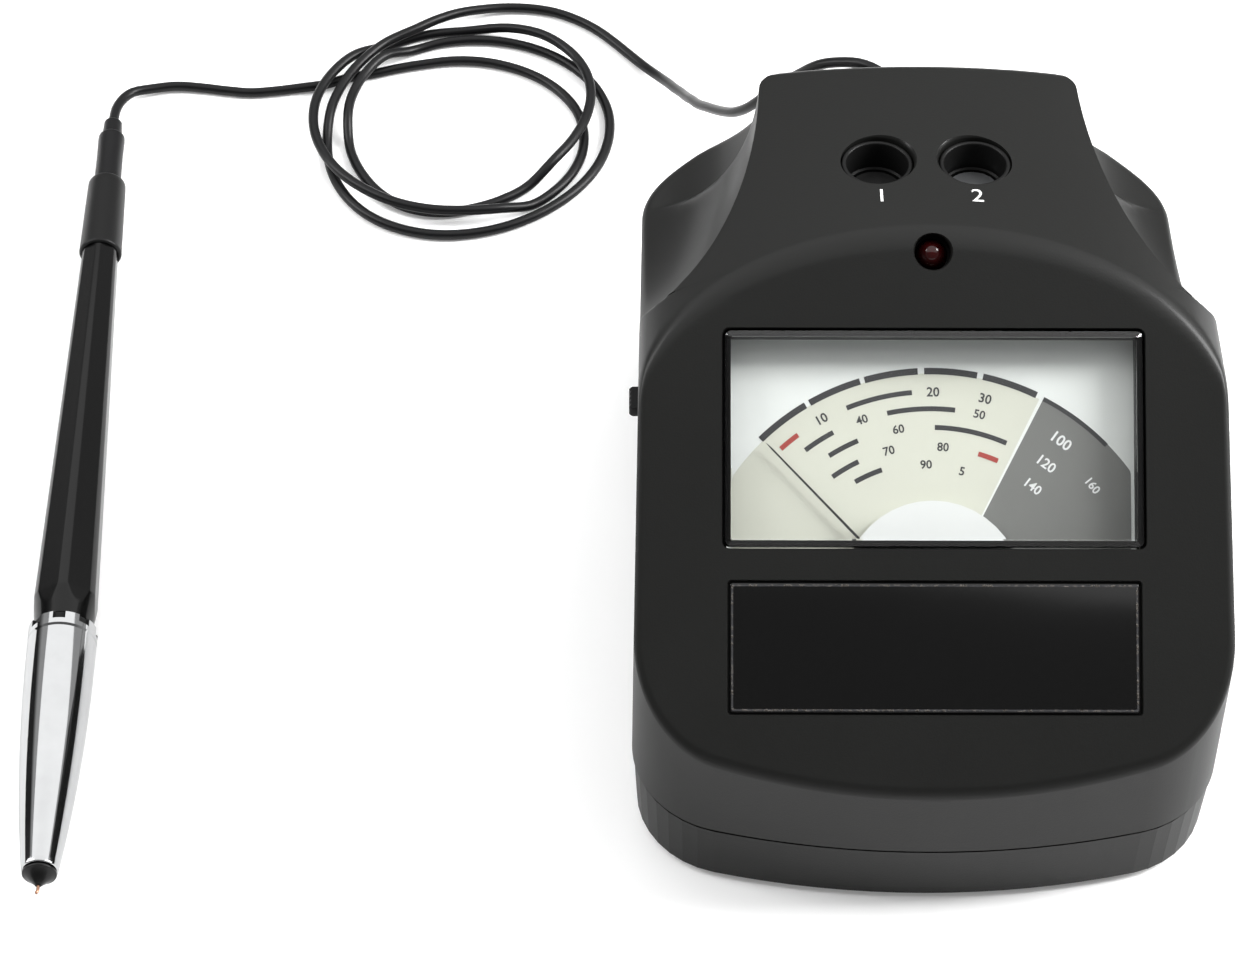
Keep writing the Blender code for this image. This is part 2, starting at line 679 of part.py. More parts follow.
def make_base_tray(console, material):
    """The tray: floor, walls with a tongue for the shell, posts, pegs and the battery bay."""
    top = PARTING_HEIGHT - SEAM_GAP / 2
    tongue_top = PARTING_HEIGHT + TONGUE_HEIGHT
    inner = SHELL_WALL + GAP + TONGUE_WALL
    walls = loft([[(x, y, 0) for x, y in plan_outline(TRAY_INSET + EDGE_ROUND / 2)],
                  [(x, y, EDGE_ROUND / 2) for x, y in plan_outline(TRAY_INSET)],
                  [(x, y, top) for x, y in plan_outline(GAP)]])
    tray = add_piece("base_tray", walls, console, material)
    tongue = prism(plan_outline(SHELL_WALL + GAP), TRAY_FLOOR / 2, tongue_top)
    change(tray, add_tool("tongue", tongue, console), "UNION")
    room = prism(plan_outline(inner), TRAY_FLOOR, tongue_top + OVERRUN)
    change(tray, add_tool("tray_room", room, console))
    half, end, ceiling = bay_sizes()
    bay = block(-half - BAY_WALL, half + BAY_WALL, BAY_FRONT - BAY_WALL, end + BAY_WALL,
                TRAY_FLOOR / 2, ceiling + BAY_WALL)
    change(tray, add_tool("bay_walls", bay, console), "UNION")
    post_top = POST_FOOT_HEIGHT + SCREW_LENGTH / 3 - GAP
    for place, (x, y) in post_places().items():
        post = moved(disc(POST_RADIUS, TRAY_FLOOR / 2, post_top, 16), (x, y, 0))
        post = add_tool("tray_post_" + place, post, console)
        within = prism(plan_outline(SHELL_WALL + 2 * GAP), 0, post_top + OVERRUN)
        change(post, add_tool("tray_post_trim_" + place, within, console), "INTERSECT")
        change(tray, post, "UNION")
        sink = [(0, -OVERRUN), (SCREW_HEAD_RADIUS + GAP, -OVERRUN),
                (SCREW_HEAD_RADIUS + GAP, SCREW_SINK + GAP), (SCREW_SHANK_RADIUS + GAP, SCREW_SINK + GAP),
                (SCREW_SHANK_RADIUS + GAP, post_top + OVERRUN), (0, post_top + OVERRUN)]
        change(tray, add_tool("screw_sink_" + place, moved(turned(sink, 16), (x, y, 0)), console))
    for index, (x, y) in enumerate(board_places()):
        peg = [(0, TRAY_FLOOR / 2), (BOARD_POST_RADIUS, TRAY_FLOOR / 2),
               (BOARD_POST_RADIUS, BOARD_HEIGHT - GAP), (BOARD_PEG_RADIUS, BOARD_HEIGHT - GAP),
               (BOARD_PEG_RADIUS, BOARD_HEIGHT + 2 * BOARD_THICKNESS), (0, BOARD_HEIGHT + 2 * BOARD_THICKNESS)]
        change(tray, add_tool(f"board_peg_{index}", moved(turned(peg, 12), (x, y, 0)), console), "UNION")
    for place, (x, y) in foot_places().items():
        seat = disc(FOOT_RADIUS + GAP, -OVERRUN, FOOT_SINK + GAP, 20)
        change(tray, add_tool("foot_seat_" + place, moved(seat, (x, y, 0)), console))
    room = block(-half, half, BAY_FRONT, end, -OVERRUN, ceiling)
    change(tray, add_tool("bay_room", room, console))
    rear = CONSOLE_DEPTH + OVERRUN
    slot = block(-half, half, BAY_FRONT, rear, -OVERRUN, DOOR_THICKNESS + GAP)
    change(tray, add_tool("door_way", slot, console))
    lip = DOOR_THICKNESS - DOOR_RAIL_HEIGHT - GAP
    wide = half + DOOR_RAIL + GAP
    groove = block(-wide, wide, BAY_FRONT, rear, lip, DOOR_THICKNESS + GAP)
    change(tray, add_tool("rail_way", groove, console))
    return tray


def make_base_fittings(console, materials):
    """The feet, the case screws and the battery door."""
    for place, (x, y) in foot_places().items():
        tread = FOOT_RADIUS - FOOT_PROUD / 2
        profile = [(0, -FOOT_PROUD), (tread, -FOOT_PROUD), (FOOT_RADIUS, -FOOT_PROUD / 2),
                   (FOOT_RADIUS, FOOT_SINK), (0, FOOT_SINK)]
        foot = add_piece("foot_" + place, turned(profile, 20), console, materials["rubber"])
        foot.location = (x, y, 0)
    for place, (x, y) in post_places().items():
        under = SCREW_SINK - SCREW_HEAD_HEIGHT
        profile = [(0, under), (SCREW_HEAD_RADIUS * HEAD_EDGE_SHARE, under), (SCREW_HEAD_RADIUS, under + SCREW_SLOT_DEPTH),
                   (SCREW_HEAD_RADIUS, SCREW_SINK), (SCREW_SHANK_RADIUS, SCREW_SINK),
                   (SCREW_SHANK_RADIUS, SCREW_SINK + SCREW_LENGTH - SCREW_SHANK_RADIUS),
                   (0, SCREW_SINK + SCREW_LENGTH)]
        screw = add_piece("case_screw_" + place, turned(profile, 16), console, materials["steel"])
        screw.location = (x, y, 0)
        long, wide = SCREW_HEAD_RADIUS * SLOT_SHARE, SCREW_SLOT_WIDTH / 2
        for turn, (reach_x, reach_y) in enumerate(((long, wide), (wide, long))):
            slot = block(-reach_x, reach_x, -reach_y, reach_y, under - OVERRUN, under + SCREW_SLOT_DEPTH)
            change(screw, add_tool(f"screw_slot_{turn}_{place}", slot, screw))
    half = bay_sizes()[0]
    front, rear = BAY_FRONT + GAP, CONSOLE_DEPTH - TRAY_INSET - GAP
    door = add_piece("battery_door", block(-half + GAP, half - GAP, front, rear, 0, DOOR_THICKNESS),
                     console, materials["shell"])
    rails = block(-half - DOOR_RAIL, half + DOOR_RAIL, front, rear, DOOR_THICKNESS - DOOR_RAIL_HEIGHT,
                  DOOR_THICKNESS)
    change(door, add_tool("door_rails", rails, console), "UNION")
    upright = Matrix.Rotation(math.pi / 2, 3, "Y")
    for index in range(DOOR_GRIPS):
        grip = disc(DOOR_GRIP_RADIUS, -half / 2, half / 2, 10)
        place = rear - (index + 2) * DOOR_GRIP_PITCH
        grip = moved(grip, (0, place, -DOOR_GRIP_RADIUS / 3), upright)
        change(door, add_tool(f"door_grip_{index}", grip, console))


def make_power(console, materials):
    """The battery with its clip, and the circuit board with what stands on it."""
    low = DOOR_THICKNESS + GAP
    middle_z = low + BATTERY_THICKNESS / 2
    clip_front = BAY_FRONT + BAY_ROOM / 2
    front = clip_front + CLIP_THICKNESS + GAP
    lying = Matrix.Rotation(-math.pi / 2, 3, "X")
    thick = BATTERY_THICKNESS / 2
    body = prism(rounded_outline(BATTERY_WIDTH / 2, -thick, thick, BATTERY_CORNER), 0, BATTERY_LENGTH)
    battery = add_piece("battery", moved(body, (0, front, middle_z), lying), console, materials["cell"])
    clip_half = BATTERY_WIDTH / 2 - BATTERY_CORNER
    clip_thick = thick - BATTERY_CORNER
    clip = block(-clip_half, clip_half, clip_front, clip_front + CLIP_THICKNESS, middle_z - clip_thick,
                 middle_z + clip_thick)
    clip = add_piece("battery_clip", clip, console, materials["black"])
    for side, label in ((-1, "left"), (1, "right")):
        x = side * BATTERY_WIDTH / 4
        stud = moved(disc(TERMINAL_RADIUS, -TERMINAL_HEIGHT, BATTERY_CORNER, 14), (x, front, middle_z), lying)
        change(battery, add_tool("stud_" + label, stud, console), "UNION")
        socket = disc(TERMINAL_RADIUS + GAP, -TERMINAL_HEIGHT - GAP, OVERRUN, 14)
        change(clip, add_tool("socket_" + label, moved(socket, (x, front, middle_z), lying), console))
    half = BOARD_WIDTH / 2
    top = BOARD_HEIGHT + BOARD_THICKNESS
    board = add_piece("circuit_board", block(-half, half, BOARD_FRONT, BOARD_FRONT + BOARD_LENGTH,
                                             BOARD_HEIGHT, top), console, materials["board"])
    for index, (x, y) in enumerate(board_places()):
        hole = disc(BOARD_PEG_RADIUS + GAP, BOARD_HEIGHT - OVERRUN, top + OVERRUN, 12)
        change(board, add_tool(f"board_hole_{index}", moved(hole, (x, y, 0)), console))
    middle_y = BOARD_FRONT + BOARD_LENGTH / 2
    chip = block(-half / 2, -half / 2 + REGULATOR_SIZE, middle_y, middle_y + REGULATOR_SIZE, top + GAP,
                 top + GAP + REGULATOR_TALL)
    add_piece("heater_regulator", chip, console, materials["black"])
    can = disc(CAPACITOR_RADIUS, top + GAP, top + GAP + CAPACITOR_TALL, 20)
    add_piece("board_capacitor", moved(can, (half / 2, middle_y, 0)), console, materials["steel"])


def make_switch(console, materials):
    """The slide switch: a body against the inside of the left wall and its knob in the slot."""
    wall_x = CONSOLE_WIDTH / 2 - side_at(SWITCH_PLACE, FRONT_CORNER_RADIUS)
    inside = -wall_x + SHELL_WALL + 2 * GAP
    y_half, z_half = SWITCH_LENGTH / 2, SWITCH_TALL / 2
    body = block(inside, inside + SWITCH_DEPTH, SWITCH_PLACE - y_half, SWITCH_PLACE + y_half,
                 SWITCH_HEIGHT - z_half, SWITCH_HEIGHT + z_half)
    body = add_piece("switch_body", body, console, materials["steel"])
    run_y, run_z = (KNOB_LENGTH + SWITCH_TRAVEL) / 2 + GAP, KNOB_HEIGHT / 2 + GAP
    track = block(inside - OVERRUN, inside + SWITCH_DEPTH - SWITCH_WALL, SWITCH_PLACE - run_y,
                  SWITCH_PLACE + run_y, SWITCH_HEIGHT - run_z, SWITCH_HEIGHT + run_z)
    change(body, add_tool("switch_track", track, console))
    middle_y = SWITCH_PLACE - SWITCH_TRAVEL / 2
    rest = add_empty("switch_rest", (-wall_x, middle_y, SWITCH_HEIGHT), parent=console)
    knob = block(-KNOB_PROUD, SHELL_WALL + GAP + SWITCH_DEPTH - SWITCH_WALL, -KNOB_LENGTH / 2,
                 KNOB_LENGTH / 2, -KNOB_HEIGHT / 2, KNOB_HEIGHT / 2)
    knob = add_piece("switch_knob", knob, rest, materials["black"])
    rounding = knob.modifiers.new("rounding", "BEVEL")
    rounding.width = KNOB_PROUD / 4
    rounding.segments = 2


def make_plate(face, materials):
    """The blank gloss plate in its shallow bed."""
    outline = rounded_outline(PLATE_WIDTH / 2, PLATE_LOW, PLATE_LOW + PLATE_HEIGHT, PLATE_CORNER)
    plate = prism(outline, -PLATE_SINK - PLATE_THICKNESS, -PLATE_SINK)
    add_piece("front_plate", plate, face, materials["gloss"])


def make_lens(face, materials):
    """The clear cover of the meter: a shallow lid with a bevelled rim and a flange behind."""
    half, low, high = WINDOW_WIDTH / 2, WINDOW_LOW, WINDOW_LOW + WINDOW_HEIGHT
    flange_top = -SHELL_WALL - GAP
    rows = ((LENS_FLANGE, -LENS_DEPTH), (LENS_FLANGE, flange_top), (0.0, flange_top),
            (0.0, LENS_PROUD - LENS_BEVEL / 2), (-LENS_BEVEL, LENS_PROUD))
    lid = loft([[(x, y, z) for x, y in rounded_outline(half + grow, low - grow, high + grow,
                                                       WINDOW_CORNER + max(grow, 0))]
                for grow, z in rows])
    lens = add_piece("window_lens", lid, face, materials["clear"])
    inner = rounded_outline(half - LENS_WALL, low + LENS_WALL, high - LENS_WALL, WINDOW_CORNER)
    room = prism(inner, -LENS_DEPTH - OVERRUN, LENS_PROUD - LENS_WALL)
    change(lens, add_tool("lens_room", room, face))


def make_meter(face, materials):
    """The movement: case, dial, magnet and pole ring, bridge, coil, needle and hub cover."""
    half = WINDOW_WIDTH / 2 + LENS_FLANGE
    low, high = METER_CASE_LOW, WINDOW_LOW + WINDOW_HEIGHT + LENS_FLANGE
    rim, floor = -LENS_DEPTH - GAP, -METER_CASE_DEPTH + METER_CASE_WALL
    case = prism(rounded_outline(half, low, high, WINDOW_CORNER), -METER_CASE_DEPTH, rim)
    case = add_piece("meter_case", case, face, materials["black"])
    wall = METER_CASE_SIDE
    ledge = -DIAL_DEPTH - DIAL_THICKNESS - GAP
    for label, inset, bottom in (("dial", wall, ledge), ("works", 2 * wall, floor)):
        room = block(-half + inset, half - inset, low + inset, high - inset, bottom, rim + OVERRUN)
        change(case, add_tool("case_room_" + label, room, face))
    coil_top = -DIAL_DEPTH - DIAL_THICKNESS - GAP - 3 * BRIDGE_THICKNESS
    coil_low = coil_top - COIL_HEIGHT
    middle = (coil_top + coil_low) / 2
    ring_low, ring_top = middle - POLE_HEIGHT / 2, middle + POLE_HEIGHT / 2
    pivot = (0, PIVOT_PLACE, 0)
    stand = ring(POLE_RADIUS - POLE_WALL, POLE_RADIUS, floor - METER_CASE_WALL / 2, ring_low - GAP)
    change(case, add_tool("pole_stand", moved(stand, pivot), face), "UNION")
    step = ring(SHAFT_RADIUS + GAP, 3 * SHAFT_RADIUS, floor - METER_CASE_WALL / 2, coil_low - GAP, 12)
    change(case, add_tool("pivot_step", moved(step, pivot), face), "UNION")
    pole = ring(POLE_RADIUS - POLE_WALL, POLE_RADIUS, ring_low, ring_top)
    add_piece("pole_ring", moved(pole, pivot), face, materials["steel"])
    core_half = COIL_HEIGHT / 2 - COIL_BAR - GAP
    core = disc(CORE_RADIUS, middle - core_half, middle + core_half, 24)
    core = add_piece("core_magnet", moved(core, pivot), face, materials["magnet"])
    arm = POLE_RADIUS - POLE_WALL - GAP
    strut = block(-CORE_RADIUS / 2, CORE_RADIUS / 2, PIVOT_PLACE - arm, PIVOT_PLACE + arm,
                  middle - core_half / 2, middle + core_half / 2)
    change(core, add_tool("core_arm", strut, face), "UNION")
    make_dial(face, half - wall - GAP, low + wall + GAP, high - wall - GAP, materials)
    make_bridge(face, coil_top, ring_top, materials)
    make_moving_group(face, coil_top, floor, materials)


def make_dial(face, half, low, high, materials):
    """The dial plate with the hole for the needle's hub, and the cover over the hub."""
    dial = block(-half, half, low, high, -DIAL_DEPTH - DIAL_THICKNESS, -DIAL_DEPTH)
    dial = add_piece("dial_plate", dial, face, materials["dial"])
    hole = disc(NEEDLE_HUB_RADIUS + GAP, -DIAL_DEPTH - 2 * OVERRUN, -DIAL_DEPTH + OVERRUN, 20)
    change(dial, add_tool("dial_hole", moved(hole, (0, PIVOT_PLACE, 0)), face))
    under = -DIAL_DEPTH + HUB_COVER_LIFT
    top = under + HUB_COVER_THICKNESS
    cover = disc(HUB_COVER_RADIUS, -DIAL_DEPTH + GAP, top, 40)
    cover = add_piece("hub_cover", moved(cover, (0, HUB_COVER_PLACE, 0)), face, materials["dial"])
    leg = HUB_COVER_RADIUS * COVER_LEG_SHARE
    sweep = block(-leg, leg, HUB_COVER_PLACE - 2 * HUB_COVER_RADIUS, HUB_COVER_PLACE + 2 * HUB_COVER_RADIUS,
                  -DIAL_DEPTH - OVERRUN, under)
    change(cover, add_tool("needle_way", sweep, face))
    trim = block(-2 * HUB_COVER_RADIUS, 2 * HUB_COVER_RADIUS, 0, PIVOT_PLACE - 2 * NEEDLE_HUB_RADIUS,
                 -DIAL_DEPTH - OVERRUN, top + OVERRUN)
    change(cover, add_tool("cover_trim", trim, face))


def make_bridge(face, coil_top, ring_top, materials):
    """The bridge over the coil that guides the needle's shaft."""
    low = coil_top + BRIDGE_THICKNESS
    half, wide = POLE_RADIUS, BRIDGE_WIDTH / 2
    bar = block(-half, half, PIVOT_PLACE - wide, PIVOT_PLACE + wide, ring_top + GAP, low + BRIDGE_THICKNESS)
    bridge = add_piece("pivot_bridge", bar, face, materials["brass"])
    foot = half - POLE_WALL
    under = block(-foot, foot, PIVOT_PLACE - 2 * wide, PIVOT_PLACE + 2 * wide, ring_top - OVERRUN, low)
    change(bridge, add_tool("bridge_way", under, face))
    hole = disc(SHAFT_RADIUS + GAP, low - OVERRUN, low + OVERRUN, 12)
    change(bridge, add_tool("bridge_hole", moved(hole, (0, PIVOT_PLACE, 0)), face))


def make_moving_group(face, coil_top, floor, materials):
    """The needle with its hub and shaft, and the coil that turns with it."""
    pivot = add_empty("needle_pivot", (0, PIVOT_PLACE, 0), (0, 0, NEEDLE_REST), face)
    low = -DIAL_DEPTH + NEEDLE_LIFT
    high = low + NEEDLE_THICKNESS
    wide = NEEDLE_WIDTH / 2
    outline = ((-2 * wide, -NEEDLE_TAIL), (2 * wide, -NEEDLE_TAIL), (wide, 0), (wide, NEEDLE_LENGTH - wide),
               (0, NEEDLE_LENGTH), (-wide, NEEDLE_LENGTH - wide), (-wide, 0))
    needle = add_piece("needle", prism(outline, low, high), pivot, materials["needle"])
    shaft_low = coil_top + GAP
    hub = turned([(0, shaft_low), (SHAFT_RADIUS, shaft_low), (SHAFT_RADIUS, low - NEEDLE_LIFT),
                  (NEEDLE_HUB_RADIUS, low - NEEDLE_LIFT), (NEEDLE_HUB_RADIUS, high), (0, high)], 16)
    change(needle, add_tool("needle_hub", hub, pivot), "UNION")
    half, thick = COIL_WIDTH / 2, COIL_THICKNESS / 2
    coil_low = coil_top - COIL_HEIGHT
    coil = add_piece("moving_coil", block(-half, half, -thick, thick, coil_low, coil_top), pivot,
                     materials["copper"])
    room = block(-half + COIL_BAR, half - COIL_BAR, -thick - OVERRUN, thick + OVERRUN,
                 coil_low + COIL_BAR, coil_top - COIL_BAR)
    change(coil, add_tool("coil_room", room, pivot))
    stub = disc(SHAFT_RADIUS, floor + GAP, coil_low + COIL_BAR / 2, 12)
    change(coil, add_tool("coil_stub", stub, pivot), "UNION")


def make_lamp(face, materials):
    """The domed lamp below its hole and the holder that keeps it there."""
    place = (0, LAMP_PLACE, 0)
    dome = [(LAMP_RADIUS * math.sin(math.pi / 2 * step / 6),
             -LAMP_SINK - LAMP_RADIUS + LAMP_RADIUS * math.cos(math.pi / 2 * step / 6)) for step in range(7)]
    neck = -LAMP_SINK - LAMP_BODY
    profile = dome + [(LAMP_RADIUS, neck), (LAMP_FLANGE_RADIUS, neck),
                      (LAMP_FLANGE_RADIUS, neck - LAMP_FLANGE), (0, neck - LAMP_FLANGE)]
    lamp = add_piece("indicator_lamp", turned(profile, 24), face, materials["red"])
    lamp.location = place
    narrow, wide = LAMP_RADIUS + GAP, LAMP_FLANGE_RADIUS + GAP
    outer = wide + HOLDER_WALL
    fold_y = fold_place(0, SHELL_WALL)
    fold_z = face_height(fold_y, SHELL_WALL) - FACE_LIFT
    fold = fold_y * math.cos(FACE_ANGLE) + fold_z * math.sin(FACE_ANGLE)
    past = max(0.0, LAMP_PLACE + outer - fold)
    top = -SHELL_WALL - 2 * GAP - past * math.tan(FACE_ANGLE + DECK_FALL)
    step, low = neck + GAP, neck - LAMP_FLANGE - GAP
    profile = [(narrow, top), (outer, top), (outer, low), (wide, low), (wide, step), (narrow, step)]
    holder = add_piece("lamp_holder", turned(profile, 24, True), face, materials["black"])
    holder.location = place


def make_wells(deck, materials):
    """The two cups in the deck, each with the reference disc on its floor."""
    radius = WELL_RADIUS - GAP
    inner = radius - CUP_WALL
    floor = -CUP_DEPTH + CUP_FLOOR
    seat = -SHELL_WALL - crown_drop(WELL_SPREAD / 2 + radius + CUP_WALL) - GAP
    brim = radius + CUP_WALL
    profile = [(0, -CUP_DEPTH), (radius, -CUP_DEPTH), (radius, seat - CUP_FLOOR), (brim, seat - CUP_FLOOR),
               (brim, seat), (radius, seat), (radius, -CUP_SINK), (inner, -CUP_SINK), (inner, floor), (0, floor)]
    for side, label in ((-1, "left"), (1, "right")):
        place = (side * WELL_SPREAD / 2, 0, 0)
        cup = add_piece("well_cup_" + label, turned(profile, 24), deck, materials["black"])
        cup.location = place
        plate = disc(DISC_RADIUS, floor + GAP, floor + GAP + DISC_THICKNESS, 24)
        plate = add_piece("reference_disc_" + label, plate, deck, materials["disc_" + label])
        plate.location = place


def make_gland(rear, material):
    """The soft gland in the leaning rear wall, with its bore for the cord."""
    inside, tip = -SHELL_WALL - GAP, GLAND_REACH
    stem = GLAND_HOLE_RADIUS - GAP
    collar = GLAND_COLLAR + GAP
    bore = CORD_DIAMETER / 2 + GAP
    profile = [(bore, inside - GLAND_COLLAR), (GLAND_RADIUS, inside - GLAND_COLLAR), (GLAND_RADIUS, inside),
               (stem, inside), (stem, GAP), (GLAND_RADIUS, GAP), (GLAND_RADIUS, collar),
               (GLAND_TIP_RADIUS, tip), (bore, tip)]
    add_piece("cord_gland", turned(profile, 20, True), rear, material)


def smooth_route(points, step):
    """Places at even steps along a smooth curve through a route's own points."""
    route = np.array(points)
    count = len(route)
    ahead = np.zeros_like(route)
    ahead[1:-1] = (route[2:] - route[:-2]) / 2
    ahead[0], ahead[-1] = route[1] - route[0], route[-1] - route[-2]
    fine = []
    parts = 40
    for i in range(count - 1):
        for t in np.linspace(0, 1, parts, endpoint=False):
            fine.append((2 * t ** 3 - 3 * t ** 2 + 1) * route[i] + (t ** 3 - 2 * t ** 2 + t) * ahead[i]
                        + (3 * t ** 2 - 2 * t ** 3) * route[i + 1] + (t ** 3 - t ** 2) * ahead[i + 1])
    fine = np.array(fine + [route[-1]])
    run = np.concatenate([[0.0], np.cumsum(np.linalg.norm(np.diff(fine, axis=0), axis=1))])
    spans = max(2, round(run[-1] / step))
    wanted = np.linspace(0, run[-1], spans + 1)
    return np.stack([np.interp(wanted, run, fine[:, axis]) for axis in range(3)], axis=1)


def add_cord(name, points, sides_level, material):
    """A cord as a round tube with closed ends along its points."""
    curve = bpy.data.curves.new(name, "CURVE")
    curve.dimensions = "3D"
    curve.bevel_depth = CORD_DIAMETER / 2
    curve.bevel_resolution = sides_level
    curve.use_fill_caps = True
    spline = curve.splines.new("POLY")
    spline.points.add(len(points) - 1)
    for target, point in zip(spline.points, points):
        target.co = (*point, 1.0)
    curve.materials.append(material)
    cord = bpy.data.objects.new(name, curve)
    bpy.context.scene.collection.objects.link(cord)
    return cord


def ease(share):
    """A smooth step from 0 to 1."""
    share = min(max(share, 0.0), 1.0)
    return share * share * (3 - 2 * share)


def coil_height(angle):
    """Height of the coil's middle line: on the floor, or raised where it crosses itself."""
    degrees = math.degrees(angle)
    rise = 0.0
    for start, end, ramp in COIL_HUMPS:
        rise += ease((degrees - start + ramp) / ramp) * ease((end + ramp - degrees) / ramp)
    return CORD_DIAMETER / 2 + HUMP_RISE * rise


def coil_point(angle):
    """A place on the drifting loops: each loop's middle and size melt into the next one's."""
    turn = LOOPS_PER_TURN_SHARE * angle / (2 * math.pi) - LOOPS_START_SHARE
    index = min(max(int(math.floor(turn)), 0), len(LOOPS) - 2)
    share = ease(turn - index)
    x, y, half_x, half_y = ((1 - share) * a + share * b for a, b in zip(LOOPS[index], LOOPS[index + 1]))
    return (x + half_x * math.cos(angle), y + half_y * math.sin(angle), coil_height(angle))


def coil_points():
    """The coil's middle line, from where it joins the first lead to where it leaves."""
    turns = (COIL_END - COIL_START) / (2 * math.pi)
    count = round(LOOP_POINTS * turns)
    return [coil_point(COIL_START + (COIL_END - COIL_START) * i / count) for i in range(count + 1)]


def least_gap(points):
    """The least gap between the surfaces of stretches half a loop or more apart."""
    line = np.array(points)
    fine = np.concatenate([line[:-1] + (line[1:] - line[:-1]) * t for t in (0.0, 0.25, 0.5, 0.75)])
    order = np.concatenate([np.arange(len(line) - 1) + t for t in (0.0, 0.25, 0.5, 0.75)])
    apart = np.linalg.norm(fine[:, None] - fine[None], axis=2)
    apart[np.abs(order[:, None] - order[None]) < LOOP_POINTS / 2] = np.inf
    return apart.min() - CORD_DIAMETER


def to_floor(points, shift):
    """Route points moved from the console's plan into the part's own."""
    return [(x + shift[0], y + shift[1], z) for x, y, z in points]


def make_cords(shift, gland_end, boot_end, material):
    """Both leads and the coil between them; each meets its neighbour face to face."""
    coil = to_floor(coil_points(), shift)
    print("coil: least gap to itself", round(least_gap(coil) * 1000, 2), "mm")
    starts, ends = [Vector(point) for point in coil[:2]], [Vector(point) for point in coil[-2:]]
    ahead = (starts[0] - starts[1]).normalized()
    behind = (ends[1] - ends[0]).normalized()
    into, out = starts[0] + ahead * GAP, ends[1] + behind * GAP
    first, direction = gland_end
    start = first + direction * GAP
    lead = [start, start + direction * CORD_DIAMETER] + to_floor(LEAD_ROUTE, shift)
    lead += [into + ahead * CORD_DIAMETER, into]
    last, direction = boot_end
    finish = last + direction * GAP
    tail = [out, out + behind * CORD_DIAMETER] + to_floor(PROBE_ROUTE, shift)
    tail += [finish + direction * CORD_DIAMETER, finish]
    leads = {"cord_lead_body": smooth_route([tuple(point) for point in lead], ROUTE_STEP),
             "cord_lead_probe": smooth_route([tuple(point) for point in tail], ROUTE_STEP)}
    for name, points in leads.items():
        add_cord(name, points, 2, material)
        length = np.linalg.norm(np.diff(points, axis=0), axis=1).sum()
        print(name, "length", round(length * 1000, 1), "mm,", len(points), "points")
    add_cord("cord_coil", coil, 1, material)
    length = np.linalg.norm(np.diff(np.array(coil), axis=0), axis=1).sum()
    print("cord_coil length", round(length * 1000, 1), "mm,", len(coil), "points")


def nose_radius(share):
    """The nose swells quickly behind its front and then runs almost level."""
    return NOSE_FRONT_RADIUS + (NOSE_RADIUS - NOSE_FRONT_RADIUS) * (1 - (1 - share) ** NOSE_SWELL_SHARE)


def probe_marks():
    """Where each part of the probe starts, measured back from the front of its tip."""
    nose = TIP_LENGTH + GAP
    ring_start = nose + NOSE_LENGTH + GAP
    barrel = ring_start + RING_LENGTH + GAP
    barrel_end = barrel + BARREL_LENGTH
    sleeve = barrel_end - SLEEVE_LAP
    boot = barrel_end + GAP
    return {"nose": nose, "ring": ring_start, "barrel": barrel, "barrel_end": barrel_end,
            "sleeve": sleeve, "boot": boot, "end": boot + BOOT_LENGTH + BOOT_NECK_LENGTH}


def make_probe(probe, materials):
    """The probe's pieces on its own axis, which is +Z from the tip back to the boot."""
    marks = probe_marks()
    nose, barrel, barrel_end, sleeve = (marks[key] for key in ("nose", "barrel", "barrel_end", "sleeve"))
    bore = PIN_RADIUS + GAP
    shank_end = TIP_LENGTH + TIP_SHANK
    profile = [(bore, 0), (TIP_POINT_RADIUS, 0), (TIP_RADIUS, TIP_LENGTH - GAP), (TIP_RADIUS, TIP_LENGTH),
               (TIP_SHANK_RADIUS, TIP_LENGTH), (TIP_SHANK_RADIUS, shank_end), (bore, shank_end)]
    add_piece("probe_tip", turned(profile, 24, True), probe, materials["black"])
    stations = 10
    outer = [(nose_radius(step / stations), nose + NOSE_LENGTH * step / stations)
             for step in range(stations + 1)]
    mouth = TIP_SHANK_RADIUS + GAP
    inner = [(max(radius - NOSE_WALL, mouth), z) for radius, z in reversed(outer)]
    add_piece("probe_nose", turned(outer + inner, hollow=True), probe, materials["chrome"])
    make_ring(probe, marks["ring"], materials["chrome"])
    make_barrel(probe, barrel, barrel_end, materials["barrel"])
    make_sleeve(probe, marks, materials)
    make_pin(probe, shank_end, materials)


def make_ring(probe, start, material):
    """The thin notched ring between the nose and the barrel."""
    inner = NOSE_RADIUS - NOSE_WALL
    edge = NOTCH_DEPTH / 2
    end = start + RING_LENGTH
    profile = [(inner, start), (NOSE_RADIUS - edge, start), (NOSE_RADIUS, start + edge),
               (NOSE_RADIUS, end - edge), (NOSE_RADIUS - edge, end), (inner, end)]
    band = add_piece("probe_ring", turned(profile, hollow=True), probe, material)
    for index in range(RING_NOTCHES):
        angle = 2 * math.pi * (index + 0.5) / RING_NOTCHES
        notch = block(NOSE_RADIUS - NOTCH_DEPTH, NOSE_RADIUS + OVERRUN, -NOTCH_WIDTH / 2, NOTCH_WIDTH / 2,
                      start + RING_LENGTH / 2, end + OVERRUN)
        change(band, add_tool(f"notch_{index}", moved(notch, turn=Matrix.Rotation(angle, 3, "Z")), probe))


